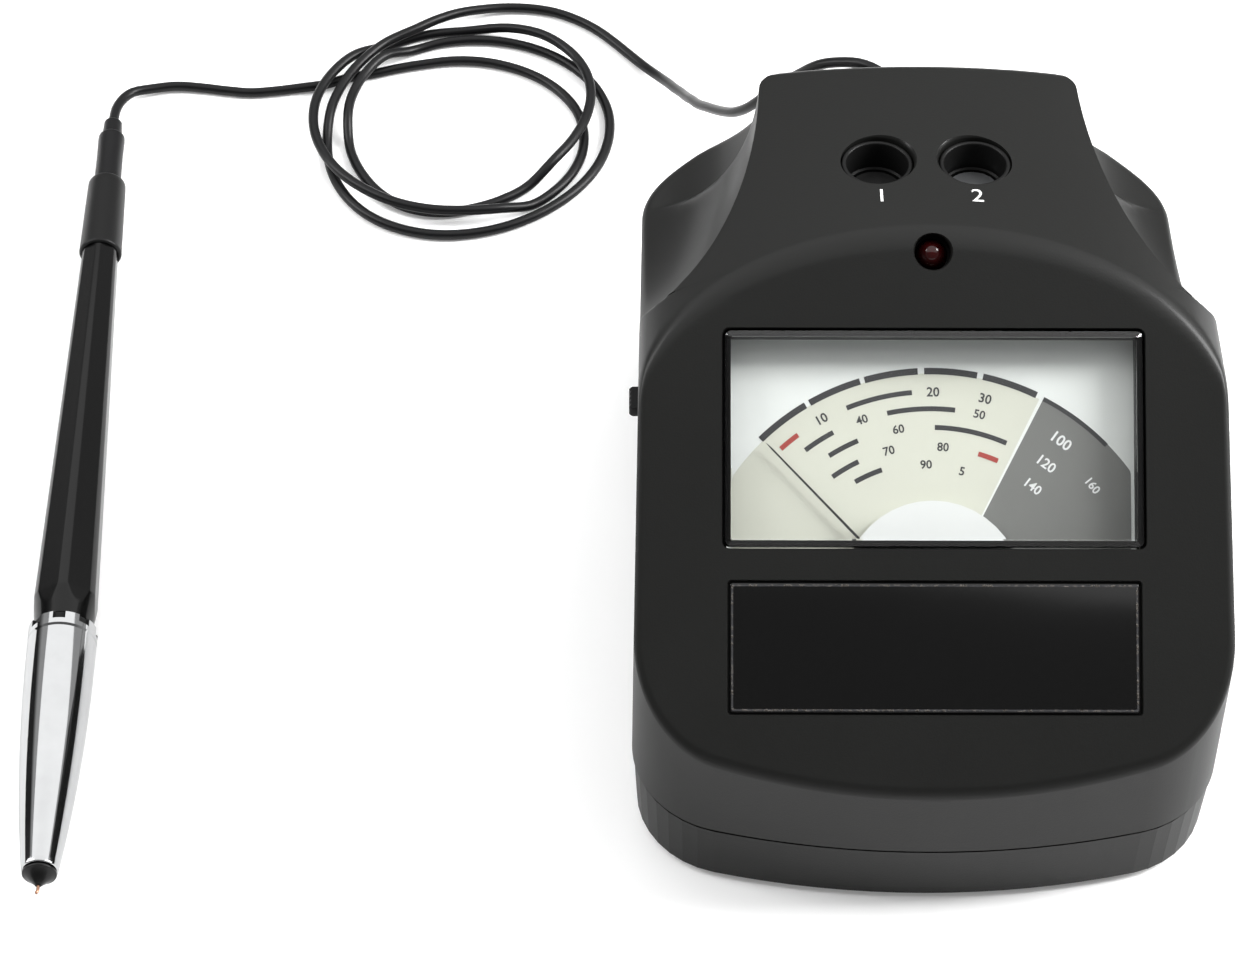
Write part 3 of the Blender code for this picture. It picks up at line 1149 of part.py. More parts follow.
def make_barrel(probe, start, end, material):
    """A tapered barrel with six flats that run out in scallops near the ring."""
    spigot = NOSE_RADIUS - NOSE_WALL - GAP
    nose_in = start - GAP - RING_LENGTH - BARREL_SPIGOT
    profile = [(0, nose_in), (spigot, nose_in), (spigot, start), (BARREL_TAPER_RADIUS, start),
               (BARREL_FRONT_RADIUS, start + BARREL_CHAMFER), (BARREL_REAR_RADIUS, end), (0, end)]
    barrel = add_piece("probe_barrel", turned(profile), probe, material)
    flats = []
    for radius, z in ((BARREL_FRONT_RADIUS, nose_in - OVERRUN), (BARREL_FRONT_RADIUS, start),
                      (BARREL_REAR_RADIUS, end), (BARREL_REAR_RADIUS, end + OVERRUN)):
        corner = radius * BARREL_FLAT_SHARE / math.cos(math.pi / BARREL_SIDES)
        angles = [2 * math.pi * (side + 0.5) / BARREL_SIDES for side in range(BARREL_SIDES)]
        flats.append([(corner * math.cos(angle), corner * math.sin(angle), z) for angle in angles])
    change(barrel, add_tool("barrel_flats", loft(flats), probe), "INTERSECT")
    bore = disc(BARREL_BORE_RADIUS, nose_in - OVERRUN, end + OVERRUN, 16)
    change(barrel, add_tool("barrel_bore", bore, probe))


def barrel_radius(z, start, end):
    """The barrel's round radius at a place behind its scalloped front."""
    share = (z - start - BARREL_CHAMFER) / (end - start - BARREL_CHAMFER)
    return BARREL_FRONT_RADIUS + (BARREL_REAR_RADIUS - BARREL_FRONT_RADIUS) * share


def make_sleeve(probe, marks, materials):
    """The shrunk sleeve over the barrel's rear end, and the boot that comes out of it."""
    start, barrel, barrel_end, boot = (marks[key] for key in ("sleeve", "barrel", "barrel_end", "boot"))
    end = start + SLEEVE_LENGTH
    lip = SLEEVE_FRONT_RADIUS / 10
    mouth = barrel_radius(start, barrel, barrel_end) + GAP
    seat = BARREL_REAR_RADIUS + GAP
    throat = BOOT_RADIUS + GAP
    profile = [(mouth, start), (SLEEVE_FRONT_RADIUS - lip, start), (SLEEVE_FRONT_RADIUS, start + lip),
               (SLEEVE_REAR_RADIUS, end - 2 * lip), (SLEEVE_REAR_RADIUS - lip, end), (throat, end),
               (throat, barrel_end + GAP), (seat, barrel_end + GAP)]
    add_piece("probe_sleeve", turned(profile, 24, True), probe, materials["sleeve"])
    neck = boot + BOOT_LENGTH
    tip = neck + BOOT_NECK_LENGTH
    bore = CORD_DIAMETER / 2 + GAP
    profile = [(bore, boot), (BOOT_RADIUS, boot), (BOOT_RADIUS, neck - GAP), (BOOT_NECK_RADIUS, neck + GAP),
               (BOOT_NECK_RADIUS, tip - lip), (BOOT_NECK_RADIUS - lip, tip), (bore, tip)]
    add_piece("probe_boot", turned(profile, 20, True), probe, materials["rubber"])


def make_pin(probe, shank_end, materials):
    """The sprung pin through the tip, its spring, and the tube that heats it."""
    flange = shank_end + GAP + PIN_RADIUS
    back = flange + PIN_FLANGE
    profile = [(0, -PIN_PROUD), (PIN_RADIUS, -PIN_PROUD + PIN_RADIUS), (PIN_RADIUS, flange),
               (PIN_FLANGE_RADIUS, flange), (PIN_FLANGE_RADIUS, back), (0, back)]
    rest = add_empty("pin_rest", parent=probe)
    add_piece("probe_pin", turned(profile, 16), rest, materials["copper"])
    inner = HEATER_RADIUS - HEATER_WALL
    start = shank_end + GAP
    seat = start + HEATER_LENGTH / 3
    end = start + HEATER_LENGTH
    profile = [(0, seat), (inner, seat), (inner, start), (HEATER_RADIUS, start), (HEATER_RADIUS, end), (0, end)]
    add_piece("heater_tube", turned(profile, 20), probe, materials["ceramic"])
    low = back + PIN_TRAVEL + SPRING_WIRE + GAP
    high = seat - SPRING_WIRE - GAP
    make_spring(probe, low, high, materials["steel"])


def make_spring(probe, low, high, material):
    """The small coil spring behind the pin, one unbroken wire with its gap measured."""
    count = SPRING_TURNS * SPRING_POINTS
    points = []
    for step in range(count + 1):
        angle = 2 * math.pi * step / SPRING_POINTS
        points.append(((SPRING_RADIUS - SPRING_WIRE) * math.cos(angle),
                       (SPRING_RADIUS - SPRING_WIRE) * math.sin(angle), low + (high - low) * step / count))
    pitch = (high - low) / SPRING_TURNS
    print("spring: least gap to itself", round((pitch - 2 * SPRING_WIRE) * 1000, 2), "mm")
    spring = add_cord("pin_spring", points, 1, material)
    spring.data.bevel_depth = SPRING_WIRE
    spring.parent = probe


def probe_tilt():
    """How far the probe's axis leans when its nose and its sleeve rest on the same floor."""
    marks = probe_marks()
    span = marks["sleeve"] + SLEEVE_FRONT_RADIUS / 10 - marks["nose"] - NOSE_LENGTH
    return math.asin((NOSE_RADIUS - SLEEVE_FRONT_RADIUS) / span)


def place_probe(shift):
    """The probe's empty: its axis runs back along the floor, turned a little outward."""
    tilt = probe_tilt()
    back = probe_marks()["nose"] + NOSE_LENGTH
    height = NOSE_RADIUS / math.cos(tilt) + back * math.sin(tilt)
    x = PROBE_OFFSET + back * math.sin(PROBE_YAW) + shift[0]
    return add_empty("probe", (x, PROBE_FRONT + shift[1], height),
                     (-math.pi / 2 - tilt, 0, PROBE_YAW))


def plan_shift():
    """Moves the point under the middle of console and probe to the origin."""
    marks = probe_marks()
    tilt = probe_tilt()
    level = math.cos(tilt)
    back = marks["nose"] + NOSE_LENGTH
    left = []
    for place, radius in ((back, NOSE_RADIUS), (marks["sleeve"] + SLEEVE_FRONT_RADIUS / 10, SLEEVE_FRONT_RADIUS)):
        x = PROBE_OFFSET + (back - place * level) * math.sin(PROBE_YAW)
        left.append(x - radius * math.cos(PROBE_YAW))
    front = PROBE_FRONT - PIN_PROUD * level * math.cos(PROBE_YAW)
    end = PROBE_FRONT + marks["end"] * level * math.cos(PROBE_YAW)
    return (-(min(left) + CONSOLE_WIDTH / 2) / 2, -(front + max(end, CONSOLE_DEPTH)) / 2)


def make_materials():
    """Every finish of the part."""
    return {
        "shell": make_material("charcoal_plastic", (0.045, 0.047, 0.050), 0.5),
        "black": make_material("black_plastic", (0.012, 0.012, 0.013), 0.42),
        "gloss": make_material("gloss_black", (0.006, 0.006, 0.007), 0.08),
        "clear": make_material("clear_plastic", (0.95, 0.96, 0.96), 0.05, transmission=1.0),
        "dial": make_material("dial_white", (0.76, 0.78, 0.74), 0.55),
        "needle": make_material("needle_black", (0.01, 0.01, 0.01), 0.4),
        "red": make_material("lamp_red", (0.20, 0.01, 0.015), 0.15),
        "steel": make_material("bright_steel", (0.55, 0.56, 0.57), 0.3, 1.0),
        "chrome": make_material("chrome", (0.78, 0.78, 0.78), 0.08, 1.0),
        "brass": make_material("brass", (0.62, 0.45, 0.20), 0.3, 1.0),
        "copper": make_material("copper", (0.70, 0.33, 0.18), 0.3, 1.0),
        "magnet": make_material("dark_magnet", (0.08, 0.08, 0.085), 0.45, 0.8),
        "board": make_material("board_green", (0.03, 0.14, 0.06), 0.5),
        "cell": make_material("cell_jacket", (0.09, 0.10, 0.12), 0.35),
        "rubber": make_material("black_rubber", (0.018, 0.018, 0.018), 0.75),
        "barrel": make_material("barrel_black", (0.010, 0.010, 0.011), 0.15),
        "sleeve": make_material("sleeve_black", (0.014, 0.014, 0.014), 0.35),
        "ceramic": make_material("ceramic_white", (0.75, 0.73, 0.68), 0.5),
        "disc_left": make_material("disc_dark", (0.03, 0.03, 0.032), 0.3),
        "disc_right": make_material("disc_grey", (0.30, 0.31, 0.32), 0.4, 0.9),
    }


def main():
    """Build the console, the probe and the cord between them."""
    clear_scene()
    materials = make_materials()
    shift = plan_shift()
    console = add_empty("console", (shift[0], shift[1], FOOT_PROUD))
    face = add_empty("face", (0, 0, FACE_LIFT), (FACE_ANGLE, 0, 0), console)
    deck = add_empty("deck", (0, WELL_PLACE, deck_height(0, WELL_PLACE)), (-DECK_FALL, 0, 0), console)
    lean = 1 / math.tan(REAR_LEAN)
    gland_y = CONSOLE_DEPTH - (GLAND_HEIGHT - REAR_WALL_HEIGHT) / lean
    rear = add_empty("rear", (GLAND_OFFSET, gland_y, GLAND_HEIGHT), (REAR_LEAN - math.pi / 2, 0, 0), console)
    make_upper_housing(console, face, deck, rear, materials["shell"])
    make_base_tray(console, materials["shell"])
    make_base_fittings(console, materials)
    make_power(console, materials)
    make_switch(console, materials)
    make_plate(face, materials)
    make_lens(face, materials)
    make_meter(face, materials)
    make_lamp(face, materials)
    make_wells(deck, materials)
    make_gland(rear, materials["rubber"])
    probe = place_probe(shift)
    make_probe(probe, materials)
    bpy.context.view_layer.update()
    gland_way = Vector((0, math.cos(REAR_LEAN), math.sin(REAR_LEAN)))
    gland_end = (rear.matrix_world @ Vector((0, 0, GLAND_REACH)), gland_way)
    boot_end = probe.matrix_world @ Vector((0, 0, probe_marks()["end"]))
    boot_way = (probe.matrix_world.to_3x3() @ Vector((0, 0, 1))).normalized()
    make_cords(shift, gland_end, (boot_end, boot_way), materials["rubber"])


main()
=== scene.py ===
"""Looks of the desk-top diamond tester, over its fixed frame.

The console gets a smooth moulded shell, a clear meter cover over a printed dial, a gloss plate, two
wells and a lamp; the probe gets its plated nose, notched ring and faceted barrel; one free cord joins
them. Lengths are in metres in the frame's own axes. The console's pieces are worked out in its own
plan and heights, and moved into place in their meshes.
"""
import json
import logging
import math
from dataclasses import dataclass, field
from enum import Enum
from typing import Callable, Sequence

import bmesh
import bpy
import numpy as np
from mathutils import Matrix, Vector

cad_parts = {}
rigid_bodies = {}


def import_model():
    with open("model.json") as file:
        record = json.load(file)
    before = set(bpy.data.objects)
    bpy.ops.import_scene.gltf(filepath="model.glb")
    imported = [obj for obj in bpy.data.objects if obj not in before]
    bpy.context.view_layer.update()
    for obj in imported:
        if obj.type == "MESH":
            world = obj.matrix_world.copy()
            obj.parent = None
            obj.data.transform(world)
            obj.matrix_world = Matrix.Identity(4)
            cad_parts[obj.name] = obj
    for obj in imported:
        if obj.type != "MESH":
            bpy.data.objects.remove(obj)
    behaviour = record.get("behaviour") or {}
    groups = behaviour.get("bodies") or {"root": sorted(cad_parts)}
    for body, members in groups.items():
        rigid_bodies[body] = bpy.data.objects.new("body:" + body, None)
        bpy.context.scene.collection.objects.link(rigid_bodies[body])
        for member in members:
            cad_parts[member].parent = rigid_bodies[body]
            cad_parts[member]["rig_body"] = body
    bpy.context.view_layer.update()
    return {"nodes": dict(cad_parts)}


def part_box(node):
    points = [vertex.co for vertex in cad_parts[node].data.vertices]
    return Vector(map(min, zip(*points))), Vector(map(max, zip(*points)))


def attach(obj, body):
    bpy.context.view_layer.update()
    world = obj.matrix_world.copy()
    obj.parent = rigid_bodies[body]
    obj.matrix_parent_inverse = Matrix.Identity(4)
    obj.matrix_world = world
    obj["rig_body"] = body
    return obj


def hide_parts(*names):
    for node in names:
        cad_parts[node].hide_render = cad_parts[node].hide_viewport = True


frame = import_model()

LOG = logging.getLogger("diamond_tester")
Grid = np.ndarray
Place = tuple[float, float, float]
Profile = list[tuple[float, float]]
Mesh, Object, Material = bpy.types.Mesh, bpy.types.Object, bpy.types.Material
Tree, Node, Socket = bpy.types.NodeTree, bpy.types.Node, bpy.types.NodeSocket
QUARTER = math.pi / 2
TURN = 2 * math.pi
GROUPS: dict[str, Tree] = {}
LOOKS: dict[str, Material] = {}
CORD_ROUTE = (
    (0.0519, 0.0462, 0.0579), (0.0500, 0.0497, 0.0599), (0.0461, 0.0525, 0.0602), (0.0419, 0.0551, 0.0582),
    (0.0383, 0.0570, 0.0557), (0.0352, 0.0587, 0.0520), (0.0327, 0.0602, 0.0485), (0.0302, 0.0615, 0.0448),
    (0.0278, 0.0628, 0.0409), (0.0256, 0.0649, 0.0368), (0.0235, 0.0681, 0.0327), (0.0217, 0.0722, 0.0288),
    (0.0200, 0.0766, 0.0251), (0.0185, 0.0809, 0.0216), (0.0171, 0.0851, 0.0182), (0.0159, 0.0893, 0.0153),
    (0.0149, 0.0932, 0.0124), (0.0139, 0.0971, 0.0098), (0.0126, 0.1010, 0.0073), (0.0112, 0.1051, 0.0049),
    (0.0094, 0.1090, 0.0029), (0.0069, 0.1129, 0.0016), (0.0039, 0.1168, 0.0011), (0.0005, 0.1208, 0.00105),
    (-0.0031, 0.1245, 0.00105), (-0.0073, 0.1276, 0.00105), (-0.0120, 0.1299, 0.00105),
    (-0.0171, 0.1310, 0.0011), (-0.0223, 0.1310, 0.0013), (-0.0273, 0.1297, 0.0020),
    (-0.0321, 0.1277, 0.0028), (-0.0364, 0.1249, 0.0035), (-0.0406, 0.1218, 0.0038),
    (-0.0466, 0.1177, 0.0038), (-0.0513, 0.1121, 0.0038), (-0.0548, 0.1054, 0.0038),
    (-0.0569, 0.0979, 0.0035), (-0.0573, 0.0902, 0.00105), (-0.0559, 0.0828, 0.00105),
    (-0.0528, 0.0763, 0.00105), (-0.0482, 0.0711, 0.00105), (-0.0422, 0.0676, 0.00105),
    (-0.0352, 0.0659, 0.00105), (-0.0277, 0.0662, 0.00105), (-0.0202, 0.0684, 0.00105),
    (-0.0133, 0.0724, 0.00105), (-0.0074, 0.0779, 0.00105), (-0.0031, 0.0845, 0.00105),
    (-0.0008, 0.0918, 0.00105), (-0.0006, 0.0993, 0.00105), (-0.0028, 0.1064, 0.00105),
    (-0.0071, 0.1126, 0.00105), (-0.0131, 0.1174, 0.00105), (-0.0201, 0.1204, 0.00105),
    (-0.0275, 0.1215, 0.00105), (-0.0347, 0.1207, 0.00105), (-0.0412, 0.1181, 0.0012),
    (-0.0464, 0.1140, 0.0038), (-0.0502, 0.1089, 0.0038), (-0.0525, 0.1030, 0.0038),
    (-0.0533, 0.0970, 0.0037), (-0.0529, 0.0910, 0.00105), (-0.0513, 0.0855, 0.00105),
    (-0.0488, 0.0807, 0.00105), (-0.0457, 0.0768, 0.00105), (-0.0420, 0.0740, 0.00105),
    (-0.0377, 0.0724, 0.00105), (-0.0329, 0.0720, 0.00105), (-0.0276, 0.0730, 0.00105),
    (-0.0221, 0.0753, 0.00105), (-0.0167, 0.0791, 0.0012), (-0.0117, 0.0840, 0.0035),
    (-0.0077, 0.0900, 0.0038), (-0.0051, 0.0966, 0.0038), (-0.0043, 0.1034, 0.0038),
    (-0.0056, 0.1100, 0.0038), (-0.0091, 0.1158, 0.0038), (-0.0146, 0.1204, 0.0038),
    (-0.0217, 0.1233, 0.0028), (-0.0299, 0.1242, 0.00105), (-0.0383, 0.1230, 0.00105),
    (-0.0461, 0.1197, 0.0011), (-0.0527, 0.1147, 0.0033), (-0.0573, 0.1083, 0.0038),
    (-0.0599, 0.1012, 0.0038), (-0.0601, 0.0938, 0.0038), (-0.0581, 0.0868, 0.0038),
    (-0.0542, 0.0805, 0.0038), (-0.0487, 0.0755, 0.0038), (-0.0422, 0.0719, 0.0038),
    (-0.0352, 0.0701, 0.0038), (-0.0281, 0.0699, 0.0038), (-0.0215, 0.0713, 0.0030),
    (-0.0158, 0.0741, 0.00105), (-0.0112, 0.0781, 0.00105), (-0.0079, 0.0830, 0.00105),
    (-0.0060, 0.0885, 0.00105), (-0.0057, 0.0943, 0.00105), (-0.0069, 0.1000, 0.00105),
    (-0.0098, 0.1052, 0.00105), (-0.0141, 0.1096, 0.00105), (-0.0196, 0.1129, 0.00105),
    (-0.0259, 0.1149, 0.00105), (-0.0325, 0.1153, 0.00105), (-0.0390, 0.1142, 0.00105),
    (-0.0442, 0.1129, 0.00105), (-0.0490, 0.1114, 0.00105), (-0.0539, 0.1102, 0.00105),
    (-0.0588, 0.1082, 0.00105), (-0.0638, 0.1072, 0.00105), (-0.0688, 0.1063, 0.00105),
    (-0.0738, 0.1058, 0.00105), (-0.0789, 0.1064, 0.00105), (-0.0839, 0.1072, 0.00105),
    (-0.0889, 0.1075, 0.0012), (-0.0938, 0.1063, 0.0016), (-0.0979, 0.1043, 0.0023),
    (-0.1001, 0.0999, 0.0030), (-0.1006, 0.0949, 0.0034),
)


class Body(Enum):
    """Bodies of the frame that the pieces ride on."""

    CONSOLE = "console"
    NEEDLE = "needle_group"
    SWITCH = "switch_slider"
    DOOR = "bay_door"
    PIN = "sprung_pin"


# Shader groups


def feed(tree: Tree, target: Node, values: dict[str | int, object]) -> None:
    """Give a node's inputs their numbers, colours or links.

    Args:
        tree: the node's tree.
        target: the node.
        values: by input, a number, a colour or another node's output.
    """
    for key, value in values.items():
        socket = target.inputs[key]
        if isinstance(value, (int, float)):
            socket.default_value = value
        elif isinstance(value, tuple):
            socket.default_value = (*value[:3], 1.0)
        else:
            tree.links.new(value, socket)


def node(tree: Tree, kind: str, inputs: dict[str | int, object] | None = None, **values: object) -> Node:
    """Add a node.

    Args:
        tree: the tree that gets it.
        kind: its type name.
        inputs: what its inputs are fed.
        values: its properties by name.

    Returns:
        The new node.
    """
    made = tree.nodes.new(kind)
    for name, value in values.items():
        setattr(made, name, value)
    feed(tree, made, inputs or {})
    return made


def math_node(tree: Tree, operation: str, *terms: object, clamp: bool = False) -> Socket:
    """Work out one value.

    Args:
        tree: the tree that gets the node.
        operation: the Math node's operation.
        terms: outputs or numbers.
        clamp: True keeps the result from 0 to 1.

    Returns:
        The node's output.
    """
    return node(tree, "ShaderNodeMath", dict(enumerate(terms)), operation=operation,
                use_clamp=clamp).outputs[0]


def ramp_node(tree: Tree, source: Socket, stops: Profile | tuple) -> Socket:
    """Turn a value into another through a grey ramp.

    Args:
        tree: the tree that gets the node.
        source: the value read.
        stops: places from 0 to 1 with the grey at each.

    Returns:
        The ramp's colour output.
    """
    made = node(tree, "ShaderNodeValToRGB", {0: source})
    ramp = made.color_ramp
    while len(ramp.elements) < len(stops):
        ramp.elements.new(1.0)
    for element, (place, grey) in zip(ramp.elements, stops):
        element.position = place
        element.color = (grey, grey, grey, 1.0)
    return made.outputs[0]


def mix_node(tree: Tree, share: object, first: object, second: object, blend: str = "MIX") -> Socket:
    """Mix two colours.

    Args:
        tree: the tree that gets the node.
        share: output or number, how much of the second.
        first: output or colour.
        second: output or colour.
        blend: the Mix node's blend type.

    Returns:
        The mixed colour.
    """
    return node(tree, "ShaderNodeMix", {0: share, 6: first, 7: second}, data_type="RGBA",
                blend_type=blend).outputs[2]


def bump_node(tree: Tree, height: Socket, strength: object, distance: float) -> Socket:
    """Turn heights into a normal.

    Args:
        tree: the tree that gets the node.
        height: the value read.
        strength: output or number.
        distance: the full height in metres.

    Returns:
        The normal.
    """
    return node(tree, "ShaderNodeBump", {"Distance": distance, "Height": height,
                                         "Strength": strength}).outputs[0]


def noise(tree: Tree, place: Socket, scale: object, detail: float = 3.0, roughness: float = 0.55,
          stretch: Place | None = None) -> Socket:
    """Add a noise, drawn out along an axis where stretch says so.

    Args:
        tree: the tree that gets the nodes.
        place: the coordinates read.
        scale: output or number, in waves to the metre.
        detail: how many finer layers lie on it.
        roughness: the strength of the finer layers.
        stretch: factors on the coordinates.

    Returns:
        The noise's value.
    """
    if stretch is not None:
        mapping = node(tree, "ShaderNodeMapping", {"Vector": place})
        mapping.inputs["Scale"].default_value = stretch
        place = mapping.outputs[0]
    return node(tree, "ShaderNodeTexNoise", {"Vector": place, "Scale": scale, "Detail": detail,
                                             "Roughness": roughness}).outputs["Fac"]


def new_group(name: str, inputs: Sequence[tuple[str, str, object]],
              outputs: Sequence[tuple[str, str]]) -> tuple[Tree, dict[str, Socket], Node]:
    """Start a shader group with named sockets.

    Args:
        name: the group's name.
        inputs: name, kind of socket and default of each input.
        outputs: name and kind of each output.

    Returns:
        The tree, its input sockets by name and its output node.
    """
    tree = bpy.data.node_groups.new(name, "ShaderNodeTree")
    for title, kind, default in inputs:
        socket = tree.interface.new_socket(name=title, in_out="INPUT", socket_type="NodeSocket" + kind)
        if default is not None:
            socket.default_value = (*default, 1.0) if kind == "Color" else default
    for title, kind in outputs:
        tree.interface.new_socket(name=title, in_out="OUTPUT", socket_type="NodeSocket" + kind)
    start, end = node(tree, "NodeGroupInput"), node(tree, "NodeGroupOutput")
    return tree, {socket.name: socket for socket in start.outputs}, end


MID_GREY = (0.5, 0.5, 0.5)
SKIN_OUTPUTS = (("Colour", "Color"), ("Roughness", "Float"), ("Normal", "Vector"))


def make_grain_group() -> Tree:
    """Build the grain of a moulded or cast skin.

    Fine noise gives the height, a broad noise shifts the colour and the roughness a little, and a
    sparse bright speck stands for dust.

    Returns:
        The group.
    """
    tree, ins, end = new_group(
        "moulded_grain",
        (("Place", "Vector", None), ("Colour", "Color", MID_GREY), ("Shade", "Float", 0.1),
         ("Roughness", "Float", 0.5), ("Spread", "Float", 0.1), ("Grain", "Float", 2500.0),
         ("Height", "Float", 0.2), ("Dust", "Float", 0.0)), SKIN_OUTPUTS)
    fine = noise(tree, ins["Place"], ins["Grain"], 2.0)
    drift = math_node(tree, "SUBTRACT", noise(tree, ins["Place"], 42.0, 4.0), 0.5)
    lift = math_node(tree, "MULTIPLY_ADD", drift, ins["Shade"], 1.0)
    shade = node(tree, "ShaderNodeCombineColor", {0: lift, 1: lift, 2: lift})
    colour = mix_node(tree, 1.0, ins["Colour"], shade.outputs[0], "MULTIPLY")
    speck = ramp_node(tree, noise(tree, ins["Place"], 900.0, 6.0, 0.7), ((0.70, 0.0), (0.78, 1.0)))
    dusty = math_node(tree, "MULTIPLY", speck, ins["Dust"], clamp=True)
    feed(tree, end, {"Colour": mix_node(tree, dusty, colour, (0.42, 0.42, 0.42)),
                     "Roughness": math_node(tree, "MULTIPLY_ADD", drift, ins["Spread"], ins["Roughness"]),
                     "Normal": bump_node(tree, fine, ins["Height"], 0.00008)})
    return tree


def make_wear_group() -> Tree:
    """Build the paler rub along outer edges: the pointedness of the surface through a narrow ramp.

    Returns:
        The group.
    """
    tree, ins, end = new_group(
        "edge_rub",
        (("Place", "Vector", None), ("Colour", "Color", MID_GREY), ("Rub", "Color", MID_GREY),
         ("Amount", "Float", 0.2)),
        (("Colour", "Color"), ("Mask", "Float")))
    pointed = node(tree, "ShaderNodeNewGeometry").outputs["Pointiness"]
    sharp = ramp_node(tree, pointed, ((0.51, 0.0), (0.60, 1.0)))
    broken = ramp_node(tree, noise(tree, ins["Place"], 260.0, 5.0), ((0.35, 0.3), (0.65, 1.0)))
    both = math_node(tree, "MULTIPLY", sharp, broken)
    mask = math_node(tree, "MULTIPLY", both, ins["Amount"], clamp=True)
    feed(tree, end, {"Colour": mix_node(tree, mask, ins["Colour"], ins["Rub"]), "Mask": mask})
    return tree


def make_line_group() -> Tree:
    """Build the fine drawn lines of plated or brushed metal, and the haze of handling on it.

    Returns:
        The group.
    """
    tree, ins, end = new_group(
        "drawn_metal",
        (("Place", "Vector", None), ("Colour", "Color", MID_GREY), ("Roughness", "Float", 0.2),
         ("Lines", "Float", 0.1), ("Haze", "Float", 0.1)), SKIN_OUTPUTS)
    lines = noise(tree, ins["Place"], 900.0, 2.0, 0.5, (6.0, 0.25, 6.0))
    haze = noise(tree, ins["Place"], 130.0, 5.0, 0.6)
    wave = math_node(tree, "MULTIPLY", math_node(tree, "SUBTRACT", haze, 0.45), ins["Haze"])
    grey = ramp_node(tree, haze, ((0.3, 0.93), (0.7, 1.0)))
    feed(tree, end, {"Colour": mix_node(tree, 1.0, ins["Colour"], grey, "MULTIPLY"),
                     "Roughness": math_node(tree, "ADD", ins["Roughness"], wave),
                     "Normal": bump_node(tree, lines, ins["Lines"], 0.00002)})
    return tree


def place_group(tree: Tree, name: str, **values: object) -> dict[str, Socket]:
    """Put a shared group into a material.

    Args:
        tree: the material's tree.
        name: the group's name.
        values: inputs by name, each an output, a number or a colour.

    Returns:
        The group's outputs by name.
    """
    made = node(tree, "ShaderNodeGroup", values, node_tree=GROUPS[name])
    return {socket.name: socket for socket in made.outputs}


def start_material(name: str) -> tuple[Material, Tree, Node, Socket]:
    """Start a material on Object coordinates.

    Args:
        name: the material's name.

    Returns:
        The material, its tree, its Principled node and the coordinates.
    """
    material = bpy.data.materials.new(name)
    material.use_nodes = True
    tree = material.node_tree
    return material, tree, tree.nodes["Principled BSDF"], node(tree, "ShaderNodeTexCoord").outputs["Object"]


# Finishes


@dataclass(frozen=True)
class Moulded:
    """A moulded, cast, rubber or painted finish: colour, grain, gloss and rubbed edges."""

    name: str
    colour: Place
    roughness: float
    shade: float = 0.12
    spread: float = 0.12
    grain: float = 2600.0
    height: float = 0.2
    dust: float = 0.0
    rub: float = 0.15
    metallic: float = 0.0
    coat: float = 0.0
    specular: float = 0.5

    def material(self) -> Material:
        """Build the finish as a material."""
        material, tree, shader, place = start_material(self.name)
        grain = place_group(tree, "moulded_grain", Place=place, Colour=self.colour, Shade=self.shade,
                            Roughness=self.roughness, Spread=self.spread, Grain=self.grain,
                            Height=self.height, Dust=self.dust)
        pale = tuple(min(1.0, part * 1.7 + 0.07) for part in self.colour)
        worn = place_group(tree, "edge_rub", Place=place, Colour=grain["Colour"], Rub=pale, Amount=self.rub)
        feed(tree, shader, {"Base Color": worn["Colour"], "Roughness": grain["Roughness"],
                            "Normal": grain["Normal"], "Metallic": self.metallic,
                            "Coat Weight": self.coat, "Coat Roughness": 0.20,
                            "Specular IOR Level": self.specular})
        return material


@dataclass(frozen=True)
class Metal:
    """A plated, drawn or turned metal: colour, gloss, fine lines and haze."""

    name: str
    colour: Place
    roughness: float
    lines: float = 0.1
    haze: float = 0.08

    def material(self) -> Material:
        """Build the finish as a material."""
        material, tree, shader, place = start_material(self.name)
        drawn = place_group(tree, "drawn_metal", Place=place, Colour=self.colour,
                            Roughness=self.roughness, Lines=self.lines, Haze=self.haze)
        pale = tuple(min(1.0, part * 1.15) for part in self.colour)
        worn = place_group(tree, "edge_rub", Place=place, Colour=drawn["Colour"], Rub=pale, Amount=0.3)
        feed(tree, shader, {"Base Color": worn["Colour"], "Roughness": drawn["Roughness"],
                            "Normal": drawn["Normal"], "Metallic": 1.0})
        return material


@dataclass(frozen=True)
class ClearCover:
    """The clear moulded cover: glass that lets the lamps' light through to the dial."""

    name: str
    tint: Place
    roughness: float

    def material(self) -> Material:
        """Build the finish as a material."""
        material, tree, shader, place = start_material(self.name)
        grain = place_group(tree, "moulded_grain", Place=place, Colour=self.tint, Shade=0.02,
                            Roughness=self.roughness, Spread=0.03, Grain=500.0, Height=0.01)
        feed(tree, shader, {"Base Color": grain["Colour"], "Roughness": grain["Roughness"],
                            "Transmission Weight": 1.0, "IOR": 1.49})
        clear = node(tree, "ShaderNodeBsdfTransparent", {0: (0.96, 0.965, 0.965)})
        rays = node(tree, "ShaderNodeLightPath").outputs
        either = math_node(tree, "MAXIMUM", rays["Is Shadow Ray"], rays["Is Diffuse Ray"])
        mixed = node(tree, "ShaderNodeMixShader", {0: either, 1: shader.outputs[0], 2: clear.outputs[0]})
        feed(tree, tree.nodes["Material Output"], {"Surface": mixed.outputs[0]})
        return material


